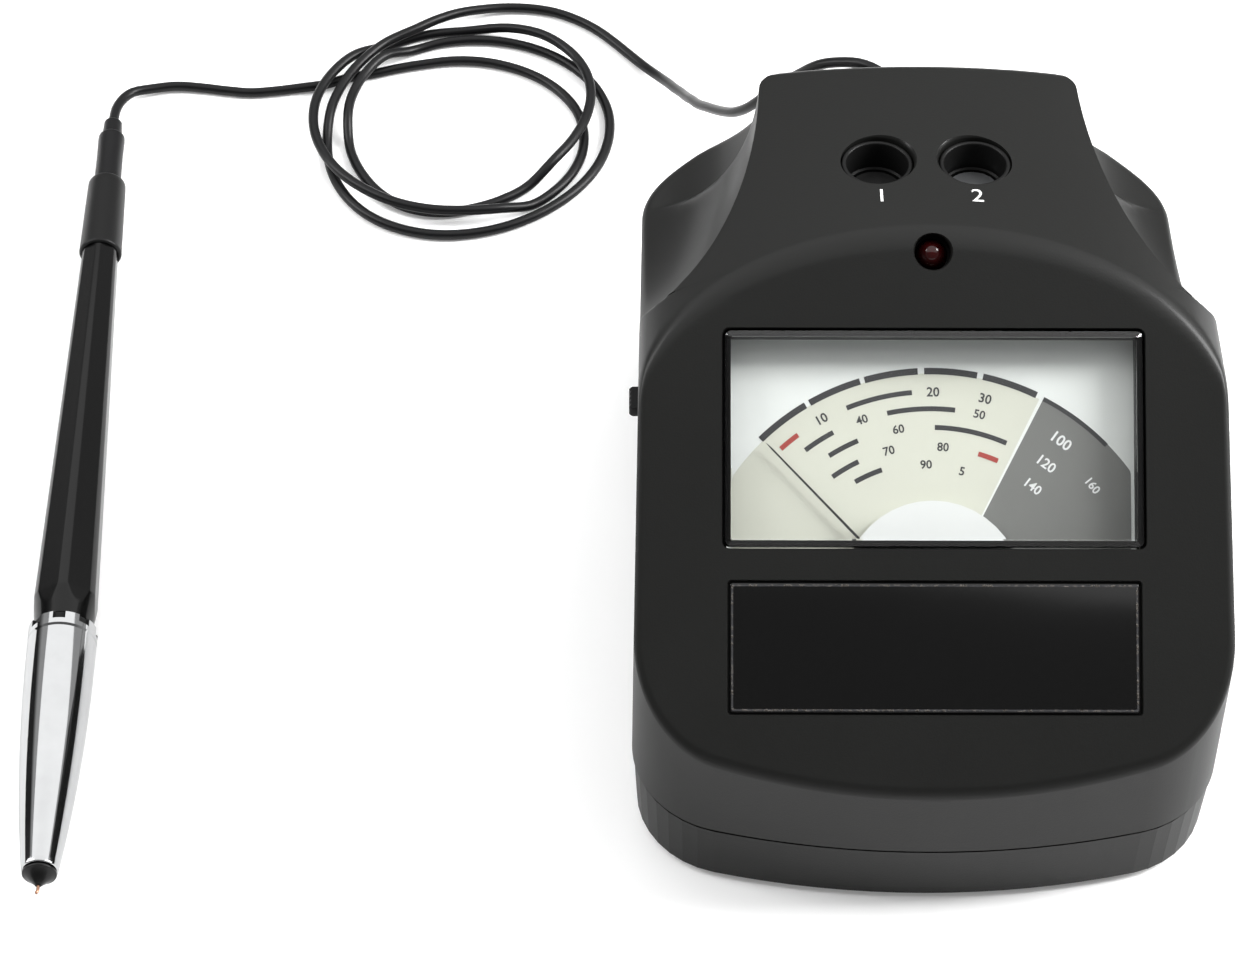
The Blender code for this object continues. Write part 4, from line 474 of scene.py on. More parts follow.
@dataclass(frozen=True)
class RedLamp:
    """The lamp's red body: deep, clear to the eye at its crown and slightly hazed."""

    name: str = "lamp_red"
    colour: Place = (0.03, 0.002, 0.002)
    edge_colour: Place = (0.012, 0.001, 0.001)

    def material(self) -> Material:
        """Build the finish as a material."""
        material, tree, shader, place = start_material(self.name)
        grain = place_group(tree, "moulded_grain", Place=place, Colour=self.colour, Shade=0.2,
                            Roughness=0.12, Spread=0.06, Grain=1200.0, Height=0.02)
        facing = node(tree, "ShaderNodeLayerWeight", {0: 0.35}).outputs["Facing"]
        feed(tree, shader, {"Base Color": mix_node(tree, facing, grain["Colour"], self.edge_colour),
                            "Roughness": grain["Roughness"], "Specular IOR Level": 0.3,
                            "Coat Weight": 0.2, "Coat Roughness": 0.04})
        return material


@dataclass(frozen=True)
class Glint:
    """Fine foil in the plate's border: small patches lean their own way and catch the light."""

    name: str = "foil_border"
    colour: Place = (0.24, 0.22, 0.20)
    dull_colour: Place = (0.02, 0.02, 0.022)

    def material(self) -> Material:
        """Build the finish as a material."""
        material, tree, shader, place = start_material(self.name)
        spots = noise(tree, place, 1400.0, 2.0, 0.6)
        share = ramp_node(tree, spots, ((0.53, 0.0), (0.60, 1.0)))
        feed(tree, shader, {"Base Color": mix_node(tree, share, self.dull_colour, self.colour),
                            "Metallic": share,
                            "Roughness": math_node(tree, "MULTIPLY_ADD", share, -0.2, 0.45),
                            "Normal": bump_node(tree, spots, 0.6, 0.0002)})
        return material


def ink(name: str, colour: Place, roughness: float = 0.5, shade: float = 0.05) -> Moulded:
    """A printed ink of the dial.

    Args:
        name: its name.
        colour: its colour.
        roughness: its gloss.
        shade: how much its colour shifts.

    Returns:
        The finish.
    """
    return Moulded(name, colour, roughness, shade=shade, height=0.05, rub=0.0)


FINISHES = (
    Moulded("charcoal_shell", (0.0066, 0.0068, 0.0063), 0.46, shade=0.10, height=0.25, grain=3000.0,
            dust=0.01, rub=0.0, coat=0.14, specular=0.16),
    Moulded("black_plastic", (0.006, 0.006, 0.006), 0.42, height=0.15, dust=0.01, rub=0.0, specular=0.16),
    Moulded("gloss_black", (0.004, 0.004, 0.004), 0.13, spread=0.05, height=0.02, grain=900.0, rub=0.0,
            specular=0.38),
    ink("dial_field", (0.77, 0.79, 0.765), 0.55, 0.03),
    ink("dial_cream", (0.61, 0.615, 0.53), 0.55, 0.03),
    ink("dial_grey", (0.165, 0.167, 0.158)),
    ink("dial_black", (0.03, 0.03, 0.032)),
    ink("dial_red", (0.35, 0.05, 0.04)),
    Moulded("white_ink", (0.76, 0.77, 0.76), 0.5, shade=0.03, height=0.04, rub=0.0),
    Moulded("hub_white", (0.70, 0.71, 0.695), 0.45, shade=0.03, height=0.05, rub=0.05),
    Moulded("needle_black", (0.012, 0.012, 0.013), 0.45, height=0.05, rub=0.05),
    Moulded("board_green", (0.02, 0.11, 0.05), 0.35, shade=0.2, grain=700.0, height=0.1),
    Moulded("cell_jacket", (0.10, 0.11, 0.13), 0.3, shade=0.1, height=0.05, metallic=0.3),
    Moulded("rubber_black", (0.003, 0.003, 0.0035), 0.36, shade=0.15, height=0.10, grain=1800.0,
            dust=0.01, rub=0.05, specular=0.22),
    Moulded("barrel_black", (0.003, 0.003, 0.003), 0.16, spread=0.06, height=0.03, grain=900.0,
            dust=0.01, rub=0.0, specular=0.22),
    Moulded("sleeve_black", (0.004, 0.004, 0.004), 0.38, spread=0.1, height=0.08, grain=1500.0,
            dust=0.01, rub=0.0, specular=0.22),
    Moulded("ceramic", (0.004, 0.004, 0.004), 0.30, height=0.12, grain=2500.0, rub=0.0, specular=0.25),
    Moulded("disc_dark", (0.003, 0.003, 0.003), 0.6, height=0.1, specular=0.2),
    Moulded("disc_grey", (0.16, 0.165, 0.17), 0.3, height=0.1, metallic=0.6),
    Moulded("magnet", (0.12, 0.12, 0.125), 0.5, metallic=0.6, grain=1500.0),
    Metal("bright_steel", (0.55, 0.55, 0.56), 0.28),
    Metal("chrome", (0.47, 0.475, 0.48), 0.07, lines=0.03, haze=0.10),
    Metal("brass", (0.65, 0.50, 0.22), 0.25),
    Metal("copper", (0.34, 0.19, 0.13), 0.24),
    ClearCover("clear_cover", (0.97, 0.98, 0.98), 0.03),
    RedLamp(),
    Glint(),
)


# Mesh tools


def linked(name: str, data: bpy.types.ID) -> Object:
    """Make an object of some data and link it to the scene.

    Args:
        name: the object's name.
        data: its mesh, curve, lamp or camera.

    Returns:
        The object.
    """
    made = bpy.data.objects.new(name, data)
    bpy.context.scene.collection.objects.link(made)
    return made


def dress(mesh: Mesh, look: str, angle: float) -> None:
    """Give a mesh its finish and its shading.

    Args:
        mesh: the mesh.
        look: the finish's name.
        angle: edges sharper than this many degrees stay sharp.
    """
    mesh.materials.clear()
    mesh.materials.append(LOOKS[look])
    mesh.shade_smooth()
    mesh.set_sharp_from_angle(angle=math.radians(angle))


def new_piece(name: str, mesh: Mesh, slot: str, look: str = "", replaces: str = "",
              body: Body = Body.CONSOLE, angle: float = 32.0) -> Object:
    """Make a piece of the visual model.

    Args:
        name: its name.
        mesh: its mesh, in the frame's own axes.
        slot: the record's material slot.
        look: its finish, the one named as the slot where empty.
        replaces: the CAD node it stands for, if any.
        body: what it rides on.
        angle: edges sharper than this many degrees stay sharp.

    Returns:
        The piece.
    """
    dress(mesh, look or slot, angle)
    piece = linked(name, mesh)
    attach(piece, body.value)
    if replaces:
        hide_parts(replaces)
    LOG.info("piece %s: %d faces", name, len(mesh.polygons))
    return piece


def mesh_from(points: Grid, faces: Sequence[Sequence[int]], name: str) -> Mesh:
    """Put worked-out points and faces into a mesh.

    Args:
        points: an array of places.
        faces: corner numbers of each face.
        name: the mesh's name.

    Returns:
        The mesh.
    """
    mesh = bpy.data.meshes.new(name)
    mesh.from_pydata(np.asarray(points, float).tolist(), [], [list(map(int, face)) for face in faces])
    mesh.update()
    return mesh


def grid_faces(rows: int, columns: int, around: bool = True) -> list[list[int]]:
    """Number the quads of a grid of points.

    Args:
        rows: how many rows of points.
        columns: how many points in a row.
        around: True joins each row's end to its start.

    Returns:
        Corner numbers of each quad.
    """
    index = np.arange(rows * columns).reshape(rows, columns)
    ahead = np.roll(index, -1, axis=1)
    last = columns if around else columns - 1
    quads = np.stack([index[:-1, :last], ahead[:-1, :last], ahead[1:, :last], index[1:, :last]], axis=-1)
    return quads.reshape(-1, 4).tolist()


def joined(parts: Sequence[Mesh], name: str, weld: float = 0.0) -> Mesh:
    """Put meshes together as one and drop those that nothing else uses.

    Args:
        parts: the meshes.
        name: the new mesh's name.
        weld: points closer than this melt together, unless it is 0.

    Returns:
        The new mesh.
    """
    shape = bmesh.new()
    for part in parts:
        shape.from_mesh(part)
        if not part.users:
            bpy.data.meshes.remove(part)
    if weld:
        bmesh.ops.remove_doubles(shape, verts=shape.verts, dist=weld)
    mesh = bpy.data.meshes.new(name)
    shape.to_mesh(mesh)
    shape.free()
    return mesh


def sealed(mesh: Mesh) -> Mesh:
    """Merge doubled points, close poles and point the faces outwards.

    Args:
        mesh: the mesh to mend in place.

    Returns:
        The same mesh.
    """
    shape = bmesh.new()
    shape.from_mesh(mesh)
    bmesh.ops.remove_doubles(shape, verts=shape.verts, dist=2e-6)
    bmesh.ops.dissolve_degenerate(shape, dist=1e-7, edges=shape.edges)
    holes = [edge for edge in shape.edges if edge.is_boundary]
    if holes:
        bmesh.ops.holes_fill(shape, edges=holes, sides=0)
    bmesh.ops.recalc_face_normals(shape, faces=shape.faces)
    shape.to_mesh(mesh)
    shape.free()
    return mesh


def ring_rows(radius: Grid, angle: Grid, height: Grid) -> Grid:
    """Circles about the Z axis: each radius r and height z gives the places (r cos a, r sin a, z).

    Args:
        radius: a column of radii, or a radius for each row and angle.
        angle: the angles.
        height: a column of heights.

    Returns:
        An array of rows, points and coordinates.
    """
    x, y, z = np.broadcast_arrays(radius * np.cos(angle), radius * np.sin(angle), height)
    return np.stack([x, y, z], axis=-1)


def lathe(profile: Profile, name: str, steps: int = 96, closed: bool = False) -> Mesh:
    """Turn a profile about the Z axis.

    Args:
        profile: radius and height of each point, from one end to the other.
        name: the mesh's name.
        steps: how many points to the circle.
        closed: True joins the profile's end to its start, as in a ring.

    Returns:
        The mesh, its normals pointing outwards.
    """
    radius, height = np.array(profile + profile[:1] if closed else profile, float).T[:, :, None]
    rows = ring_rows(radius, np.linspace(0, TURN, steps, endpoint=False), height)
    return loft(rows, name, False)


def loft(rows: Grid, name: str, capped: bool = True) -> Mesh:
    """Join rows of points into a skin and cap both ends.

    Args:
        rows: an array of rows, points and coordinates.
        name: the mesh's name.
        capped: False leaves the ends to be sealed as holes.

    Returns:
        The mesh, its normals pointing outwards.
    """
    rows = np.asarray(rows, float)
    count, around = rows.shape[:2]
    faces = grid_faces(count, around)
    if capped:
        faces += [list(range(around))[::-1], list(range((count - 1) * around, count * around))]
    return sealed(mesh_from(rows.reshape(-1, 3), faces, name))


def arc_points(r: float, z: float, wide: float, tall: float, start: float = 0.0, end: float = QUARTER,
               count: int = 5) -> Profile:
    """Points on an arc of an oval: (r + wide cos a, z + tall sin a).

    Args:
        r: the middle's radius.
        z: the middle's height.
        wide: half the oval's width.
        tall: half its height.
        start: the first angle.
        end: the last angle.
        count: how many points.

    Returns:
        The points.
    """
    return [(r + wide * math.cos(a), z + tall * math.sin(a)) for a in np.linspace(start, end, count)]


def rounded_loop(half_x: float, half_y: float, radius: float, steps: int = 8) -> Grid:
    """Points of a rectangle with round corners about the origin.

    Args:
        half_x: half its width.
        half_y: half its length.
        radius: its corners' radius.
        steps: points to a corner, less one.

    Returns:
        An array of x and y.
    """
    turn = np.linspace(0, QUARTER, steps + 1)
    loop = []
    for quarter, (sx, sy) in enumerate(((1, 1), (-1, 1), (-1, -1), (1, -1))):
        angle = turn + quarter * QUARTER
        loop.append(np.stack([sx * (half_x - radius) + radius * np.cos(angle),
                              sy * (half_y - radius) + radius * np.sin(angle)], axis=-1))
    return np.concatenate(loop)


def rounded_slab(half_x: float, half_y: float, radius: float, levels: Sequence[tuple[float, float]],
                 name: str, steps: int = 8) -> Mesh:
    """Raise a round-cornered rectangle through levels of inset and height.

    Args:
        half_x: half its width.
        half_y: half its length.
        radius: its corners' radius.
        levels: inset and height of each level, from the bottom up.
        name: the mesh's name.
        steps: points to a corner, less one.

    Returns:
        The mesh.
    """
    rows = []
    for inset, height in levels:
        loop = rounded_loop(half_x - inset, half_y - inset, max(radius - inset, 0.0001), steps)
        rows.append(np.column_stack([loop, np.full(len(loop), height)]))
    return loft(np.array(rows), name)


def smooth_min(first: Grid, second: Grid, width: float | Grid) -> Grid:
    """The lower of two heights, with a round of the given width where they meet.

    The blend is the quadratic one: min(a, b) - h * h / (4 w) with h = max(w - |a - b|, 0).

    Args:
        first: heights.
        second: heights.
        width: how far apart they still melt together.

    Returns:
        The blended heights.
    """
    near = np.maximum(width - np.abs(first - second), 0.0)
    return np.minimum(first, second) - near * near / (4 * width)


def put(mesh: Mesh, placing: Matrix) -> Mesh:
    """Move a mesh's own points into place.

    Args:
        mesh: the mesh.
        placing: the matrix.

    Returns:
        The same mesh.
    """
    mesh.transform(placing)
    mesh.update()
    return mesh


def carve(piece: Object, tools: Sequence[Mesh]) -> None:
    """Cut tools from a piece and keep the result as its mesh.

    Args:
        piece: the object that changes.
        tools: the tools' meshes, in place.
    """
    for mesh in tools:
        step = piece.modifiers.new("tool_" + mesh.name, "BOOLEAN")
        step.operation = "DIFFERENCE"
        step.solver = "MANIFOLD"
        step.object = linked("tool_" + mesh.name, mesh)
    graph = bpy.context.evaluated_depsgraph_get()
    graph.update()
    done = bpy.data.meshes.new_from_object(piece.evaluated_get(graph), depsgraph=graph)
    piece.modifiers.clear()
    old = piece.data
    done.name = old.name + "_cut"
    piece.data = done
    for mesh in (old, *tools):
        bpy.data.meshes.remove(mesh)


def typeset(name: str, text: str, size: float, steps: int, swell: float = 0.0) -> Mesh:
    """Plain centred text as a flat mesh.

    Args:
        name: the helper's name.
        text: what it says.
        size: its height in metres.
        steps: how finely its curves are drawn.
        swell: how much its strokes are thickened, in metres.

    Returns:
        The mesh.
    """
    data = bpy.data.curves.new(name, "FONT")
    data.body = text
    data.size = size
    data.align_x = data.align_y = "CENTER"
    data.resolution_u = steps
    data.offset = swell
    helper = linked(name, data)
    mesh = bpy.data.meshes.new_from_object(helper.evaluated_get(bpy.context.evaluated_depsgraph_get()))
    bpy.data.objects.remove(helper)
    bpy.data.curves.remove(data)
    return mesh


def add_second_look(mesh: Mesh, look: str, placing: Matrix, chosen: Callable[[Grid], Grid]) -> None:
    """Give some of a placed mesh's faces another finish.

    Args:
        mesh: the mesh, in the frame's axes.
        look: the finish's name.
        placing: the matrix that put it there.
        chosen: a function that tells, from the faces' middles in the mesh's first axes, which change.
    """
    centres = np.empty(len(mesh.polygons) * 3)
    mesh.polygons.foreach_get("center", centres)
    back = np.array(placing.inverted())
    places = centres.reshape(-1, 3) @ back[:3, :3].T + back[:3, 3]
    mesh.materials.append(LOOKS[look])
    mesh.polygons.foreach_set("material_index", chosen(places).astype(np.int32))


def smooth_line(points: Sequence[Place], step: float) -> Grid:
    """Lay a smooth line through points, with places an even distance apart.

    Each stretch is the cubic whose ends and slopes the points give, half the chord to its neighbours.

    Args:
        points: the places it passes.
        step: the distance wanted between two places.

    Returns:
        The line's places.
    """
    line = np.array(points, float)
    slope = np.gradient(line, axis=0)
    s = np.linspace(0, 1, 24, endpoint=False)[:, None]
    parts = []
    for a, b, sa, sb in zip(line[:-1], line[1:], slope[:-1], slope[1:]):
        parts.append((2 * s ** 3 - 3 * s ** 2 + 1) * a + (s ** 3 - 2 * s ** 2 + s) * sa
                     + (3 * s ** 2 - 2 * s ** 3) * b + (s ** 3 - s ** 2) * sb)
    fine = np.concatenate(parts + [line[-1:]])
    run = np.concatenate([[0.0], np.cumsum(np.linalg.norm(np.diff(fine, axis=0), axis=1))])
    place = np.linspace(0, run[-1], max(2, round(run[-1] / step)) + 1)
    return np.stack([np.interp(place, run, fine[:, axis]) for axis in range(3)], axis=-1)


# The scene round it


@dataclass
class Studio:
    """The camera at the photograph's angle, a pale floor and soft lamps from above and the sides."""

    eye: Place = (0.0014, -0.4564, 0.5452)
    tilt: float = 40.0
    roll: float = 0.127
    lens: float = 111.1
    floor_half: float = 3.0
    floor_glow: float = 0.17

    def camera(self) -> None:
        """Place the camera."""
        data = bpy.data.cameras.new("camera")
        data.lens = self.lens
        data.sensor_width = 36.0
        data.clip_start = 0.01
        made = linked("camera", data)
        turn = Matrix.Rotation(math.radians(self.tilt), 4, "X") @ Matrix.Rotation(math.radians(self.roll), 4, "Z")
        made.matrix_world = Matrix.Translation(self.eye) @ turn
        bpy.context.scene.camera = made

    def lamp(self, name: str, place: Place, aim: Place, size: tuple[float, float], power: float) -> None:
        """Add one soft rectangular lamp.

        Args:
            name: its name.
            place: where it hangs.
            aim: what it points at.
            size: its width and length.
            power: its power in watts.
        """
        data = bpy.data.lights.new(name, "AREA")
        data.shape = "RECTANGLE"
        data.size, data.size_y = size
        data.energy = power
        turn = (Vector(aim) - Vector(place)).to_track_quat("-Z", "Y").to_matrix().to_4x4()
        linked(name, data).matrix_world = Matrix.Translation(place) @ turn

    def floor(self) -> None:
        """Lay the pale floor; where the camera sees it, straight or through glass, it glows a little."""
        side = np.linspace(-self.floor_half, self.floor_half, 7)
        grid = np.stack([*np.meshgrid(side, side, indexing="xy"), np.zeros((7, 7))], axis=-1)
        mesh = mesh_from(grid.reshape(-1, 3), grid_faces(7, 7, False), "floor")
        material, tree, shader, place = start_material("floor")
        rays = node(tree, "ShaderNodeLightPath").outputs
        seen = math_node(tree, "MAXIMUM", rays["Is Camera Ray"], rays["Is Transmission Ray"])
        feed(tree, shader, {"Base Color": ramp_node(tree, noise(tree, place, 60.0), ((0.3, 0.900), (0.7, 0.915))),
                            "Roughness": 0.9, "Specular IOR Level": 0.1,
                            "Emission Color": (1.0, 1.0, 1.0),
                            "Emission Strength": math_node(tree, "MULTIPLY", seen, self.floor_glow)})
        mesh.materials.append(material)
        linked("floor", mesh)

    def lights(self) -> None:
        """Hang the soft lamps and grey the world, which has a dark band at each side."""
        world = bpy.data.worlds.new("studio")
        world.use_nodes = True
        tree = world.node_tree
        towards = node(tree, "ShaderNodeTexCoord").outputs["Generated"]
        height = node(tree, "ShaderNodeVectorMath", {0: towards}, operation="DOT_PRODUCT")
        height.inputs[1].default_value = (0.0, -0.64, 0.77)
        grey = ramp_node(tree, height.outputs["Value"], ((0.30, 0.52), (0.85, 0.17)))
        across = node(tree, "ShaderNodeSeparateXYZ", {0: towards}).outputs[0]
        band = ramp_node(tree, math_node(tree, "MULTIPLY_ADD", across, 0.5, 0.5), (
            (0.015, 1.0), (0.04, 0.06), (0.11, 0.06), (0.15, 1.0), (0.90, 1.0), (0.935, 0.06),
            (0.975, 0.06), (0.9925, 1.0)))
        feed(tree, tree.nodes["Background"], {0: mix_node(tree, 1.0, grey, band, "MULTIPLY")})
        bpy.context.scene.world = world
        bpy.context.scene.view_settings.view_transform = "Standard"
        self.lamp("overhead", (0.05, 0.30, 1.30), (0.03, 0.0, 0.02), (2.6, 2.0), 21.5)
        self.lamp("left_strip", (-1.0, 0.10, 0.70), (0.0, 0.0, 0.03), (0.35, 1.0), 9.5)
        self.lamp("right_strip", (1.05, 0.10, 0.75), (0.0, 0.0, 0.03), (0.35, 1.0), 28.0)
        self.lamp("front_fill", (0.1, -1.3, 0.25), (0.0, 0.0, 0.03), (1.2, 0.3), 0.7)


# The cord


@dataclass
class Cord:
    """The thin cord from the console's gland, round its loose coil, to the probe's boot."""

    radius: float = 0.001
    length: float = 0.737
    step: float = 0.0013
    look: str = "rubber_black"

    def build(self) -> None:
        """Lay the cord along its route, as one round line."""
        line = smooth_line(CORD_ROUTE, self.step)
        data = bpy.data.curves.new("cord", "CURVE")
        data.dimensions = "3D"
        data.bevel_depth = self.radius
        data.bevel_resolution = 5
        data.use_fill_caps = True
        spline = data.splines.new("POLY")
        spline.points.add(len(line) - 1)
        spline.points.foreach_set("co", np.column_stack([line, np.ones(len(line))]).ravel())
        spline.use_smooth = True
        data.materials.append(LOOKS[self.look])
        cord = linked("cord", data)
        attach(cord, Body.CONSOLE.value)
        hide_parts("cord_lead_body", "cord_coil", "cord_lead_probe")
        LOG.info("cord: %d places, %.3f m", len(line), np.linalg.norm(np.diff(line, axis=0), axis=1).sum())


# The console


@dataclass(frozen=True)
class FacePatch:
    """A round-cornered rectangle on the sloping face: its lower and upper edge, half width and corner."""

    low: float
    high: float
    half: float
    corner: float

    @property
    def middle(self) -> float:
        """Its middle, up the face."""
        return (self.low + self.high) / 2

    @property
    def reach(self) -> float:
        """Half its length up the face."""
        return (self.high - self.low) / 2


WINDOW = FacePatch(0.04136, 0.07742, 0.0348, 0.0011)
PLATE = FacePatch(0.0138, 0.03537, 0.034, 0.0006)
LAMP_PLACE = 0.0908
LAMP_HOLE = 0.0031
WELL_SPREAD = 0.0167
WELL_PLACE = 0.0961
WELL_HOLE = 0.0063
CORD_BORE = 0.00105
GLAND_SPOT = (-0.002, 0.055)
SWITCH_SPOT = (-0.049, 0.080, 0.040)
CLEARANCE = 0.0003


@dataclass
class Placing:
    """Where the console stands: its plan's own axes, its face, its deck and its leaning rear wall."""

    shell_low: float = 0.0141
    lift: float = 0.03013
    slope: float = math.radians(35.2)
    deck_height: float = 0.0842
    deck_mark: float = 0.077
    deck_fall: float = math.radians(5.4)
    crown: float = 0.020
    half_width: float = 0.050
    depth: float = 0.1344
    rear_height: float = 0.0485
    rear_lean: float = math.radians(20.4)
    base: Matrix = field(init=False)

    def __post_init__(self) -> None:
        """Find the console from its shell's box."""
        low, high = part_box("upper_housing")
        self.base = Matrix.Translation(((low[0] + high[0]) / 2, low[1], low[2] - self.shell_low))

    def spot(self, x: float, y: float, z: float) -> Matrix:
        """A place in the plan and its height, in metres, as a matrix."""
        return self.base @ Matrix.Translation((x, y, z))

    def face(self, x: float, along: float, level: float = 0.0) -> Matrix:
        """The face's own axes at a place across and up it; level is how far over it."""
        turn = Matrix.Rotation(self.slope, 4, "X")
        return self.spot(0, 0, self.lift) @ turn @ Matrix.Translation((x, along, level))

    def deck(self, x: float, y: float) -> Matrix:
        """The deck's own axes at a place in the plan, at its middle line's height."""
        height = self.deck_height - math.tan(self.deck_fall) * (y - self.deck_mark)
        return self.spot(0, y, height) @ Matrix.Rotation(-self.deck_fall, 4, "X") @ Matrix.Translation((x, 0, 0))

    def rear(self, x: float, height: float) -> Matrix:
        """The leaning rear wall's own axes at a height, +Z outwards."""
        y = self.depth - (height - self.rear_height) * math.tan(self.rear_lean)
        return self.spot(x, y, height) @ Matrix.Rotation(self.rear_lean - QUARTER, 4, "X")

    def crown_drop(self, x: Grid) -> Grid:
        """How far the crowned deck lies under its middle line: an oval across the console."""
        share = np.minimum(np.abs(x) / self.half_width, 1.0)
        return self.crown * (1 - np.sqrt(1 - share ** 2))


@dataclass
class Shell:
    """The moulded upper housing: a sloping face, a crowned deck and a hollow in each flank."""

    at: Placing
    bow: float = 0.156
    corner: float = 0.018
    rear_corner: float = 0.0132
    taper: float = 0.0165
    draft: float = 0.005
    wall: float = 0.0022
    edge: float = 0.0013
    fold_melt: float = 0.0019
    rear_melt: float = 0.0050
    crease_melt: tuple[float, float] = (0.0008, 0.0048)
    crease_run: tuple[float, float] = (0.112, 0.126)
    inner_melt: float = 0.0005
    scoop_reach: float = 0.022
    scoop_length: float = 0.055
    scoop_depth: float = 0.036
    scoop_place: float = 0.125
    scoop_brim: float = 0.078
    scoop_rise: float = 14.0
    deck_end: float = 0.1228
    deck_corner: float = 0.0032
    brim_room: float = 0.0017
    floor_sink: float = 0.004
    tuck: float = 0.006

    def corner_place(self) -> Place:
        """Middle of the front corner's arc, and the angle where the bowed front meets it."""
        x = self.at.half_width - self.corner
        y = self.bow - math.sqrt((self.bow - self.corner) ** 2 - x ** 2)
        return x, y, math.atan2(x, self.bow - y)

    def rear_place(self) -> tuple[float, float]:
        """Middle of the rear corner's arc."""
        y = self.at.depth - self.rear_corner
        return self.at.half_width - self.taper * (y - self.corner_place()[1]) - self.rear_corner, y

    def half_width(self, y: Grid) -> Grid:
        """Half the plan's width at places along the console.

        The front is an arc of the bow's radius, then come the corner's arc, a straight tapered side
        and the rear corner's arc.
        """
        (cx, cy, meet), (rx, ry) = self.corner_place(), self.rear_place()
        line = []
        for x, along, radius, start, end, count in (
                (0.0, self.bow, self.bow, -QUARTER, meet - QUARTER, 200),
                (cx, cy, self.corner, meet - QUARTER, 0.0, 120), (rx, ry, self.rear_corner, 0.0, QUARTER, 120)):
            line += arc_points(x, along, radius, radius, start, end, count)
        return np.interp(y, *np.array(line).T[::-1])

    def rim_distance(self, x: Grid, y: Grid) -> Grid:
        """Distance in from the plan's outline: the least of those to its arcs and straight sides."""
        (cx, cy, meet), (rx, ry) = self.corner_place(), self.rear_place()
        across = np.abs(x)
        bow = self.bow - np.hypot(across, y - self.bow)
        turn = self.corner - np.hypot(across - cx, y - cy)
        side = self.at.half_width - self.taper * np.maximum(y - cy, 0) - across
        swing = np.arctan2(across - cx, cy - y)
        front = np.where((swing > meet) & (swing < QUARTER) & (across > cx), turn, bow)
        near = np.where((y < cy) & (across > cx), front, np.minimum(bow, side))
        round_off = self.rear_corner - np.hypot(across - rx, y - ry)
        back = np.minimum(near, self.at.depth - y)
        return np.maximum(np.where((across > rx) & (y > ry), round_off, back), 0.0)

    def planes(self, x: Grid, y: Grid, wall: float = 0.0) -> tuple[Grid, Grid, Grid]:
        """Heights of the sloping face, the crowned deck and the leaning rear wall.

        The face and the rear wall are planes; the deck is an oval across that falls to the rear.

        Args:
            x: places across.
            y: places along.
            wall: how far under the outer skin they lie.

        Returns:
            The three heights.
        """
        at, lean = self.at, self.at.rear_lean
        face = at.lift + y * math.tan(at.slope) - wall / math.cos(at.slope)
        deck = at.deck_height - at.crown_drop(x) - math.tan(at.deck_fall) * (y - at.deck_mark) - wall
        rear = at.rear_height + (at.depth - y) / math.tan(lean) - wall / math.sin(lean)
        return face, deck, rear

    def bowl_top(self, x: Grid, y: Grid, grow: float = 0.0) -> Grid:
        """Height of the hollow's bowl, an oval that runs out straight to the rear.

        With q the distance from its middle line in shares of the oval, the height is the brim less
        the depth times the root of 1 - q * q inside, and it rises steeply outside. Its line turns in
        along an arc at the deck's rear corners.

        Args:
            x: places across.
            y: places along.
            grow: how much bigger it is all round.

        Returns:
            Heights.
        """
        reach, length, depth = (size + grow for size in (self.scoop_reach, self.scoop_length, self.scoop_depth))
        in_from_side = self.at.half_width - np.abs(x)
        turn = np.clip(y - self.deck_end + self.deck_corner, 0, self.deck_corner)
        shift = (self.deck_corner - np.sqrt(self.deck_corner ** 2 - turn ** 2)) * np.clip(
            in_from_side / self.scoop_reach, 0, 1)
        q = np.hypot((shift - in_from_side) / reach, np.minimum(y - self.scoop_place, 0) / length)
        inside = self.scoop_brim - depth * np.sqrt(np.maximum(1 - q * q, 0))
        return np.where(q < 1, inside, self.scoop_brim + self.scoop_rise * reach * (q - 1))

    def top(self, x: Grid, y: Grid, wall: float = 0.0) -> Grid:
        """Height of the whole top, with soft folds and creases.

        Args:
            x: places across.
            y: places along.
            wall: how far under the outer skin it lies.

        Returns:
            Heights, rounded down along the outline on the outer skin.
        """
        face, deck, rear = self.planes(x, y, wall)
        height = smooth_min(smooth_min(face, deck, self.fold_melt), rear, self.rear_melt)
        start, end = self.crease_run
        rearmost = np.clip((y - start) / (end - start), 0, 1)
        thin, thick = self.crease_melt
        melt = self.inner_melt if wall else thin + (thick - thin) * rearmost ** 2
        height = smooth_min(height, self.bowl_top(x, y, wall), melt)
        if wall:
            return height
        near = np.minimum(self.rim_distance(x, y), self.edge)
        return height - (self.edge - np.sqrt(self.edge ** 2 - (self.edge - near) ** 2))

    def crease(self, y: Grid) -> Grid:
        """Across the plan, where the hollow's brim runs, or a little in from the side ahead of it."""
        wide = self.half_width(y)
        low = np.full_like(y, self.at.half_width - self.scoop_reach - 0.002)
        high = wide.copy()
        meets = self.bowl_top(high, y) < np.minimum.reduce(self.planes(high, y))
        for _ in range(40):
            middle = (low + high) / 2
            above = self.bowl_top(middle, y) > np.minimum.reduce(self.planes(middle, y))
            low, high = np.where(above, middle, low), np.where(above, high, middle)
        plain = wide - self.brim_room * np.clip(wide / 0.02, 0.05, 1)
        return np.where(meets, np.minimum(high, wide - self.brim_room), plain)

    def rows(self, fine: float) -> Grid:
        """Places along the console, closer at its ends and where the hollows start."""
        stops = (0.00002, 0.008, 0.068, 0.081, 0.121, self.at.depth)
        parts = [np.linspace(a, b, max(3, round(count / fine)), endpoint=False)
                 for a, b, count in zip(stops, stops[1:], (54, 56, 46, 44, 34))]
        return np.concatenate(parts + [stops[-1:]])

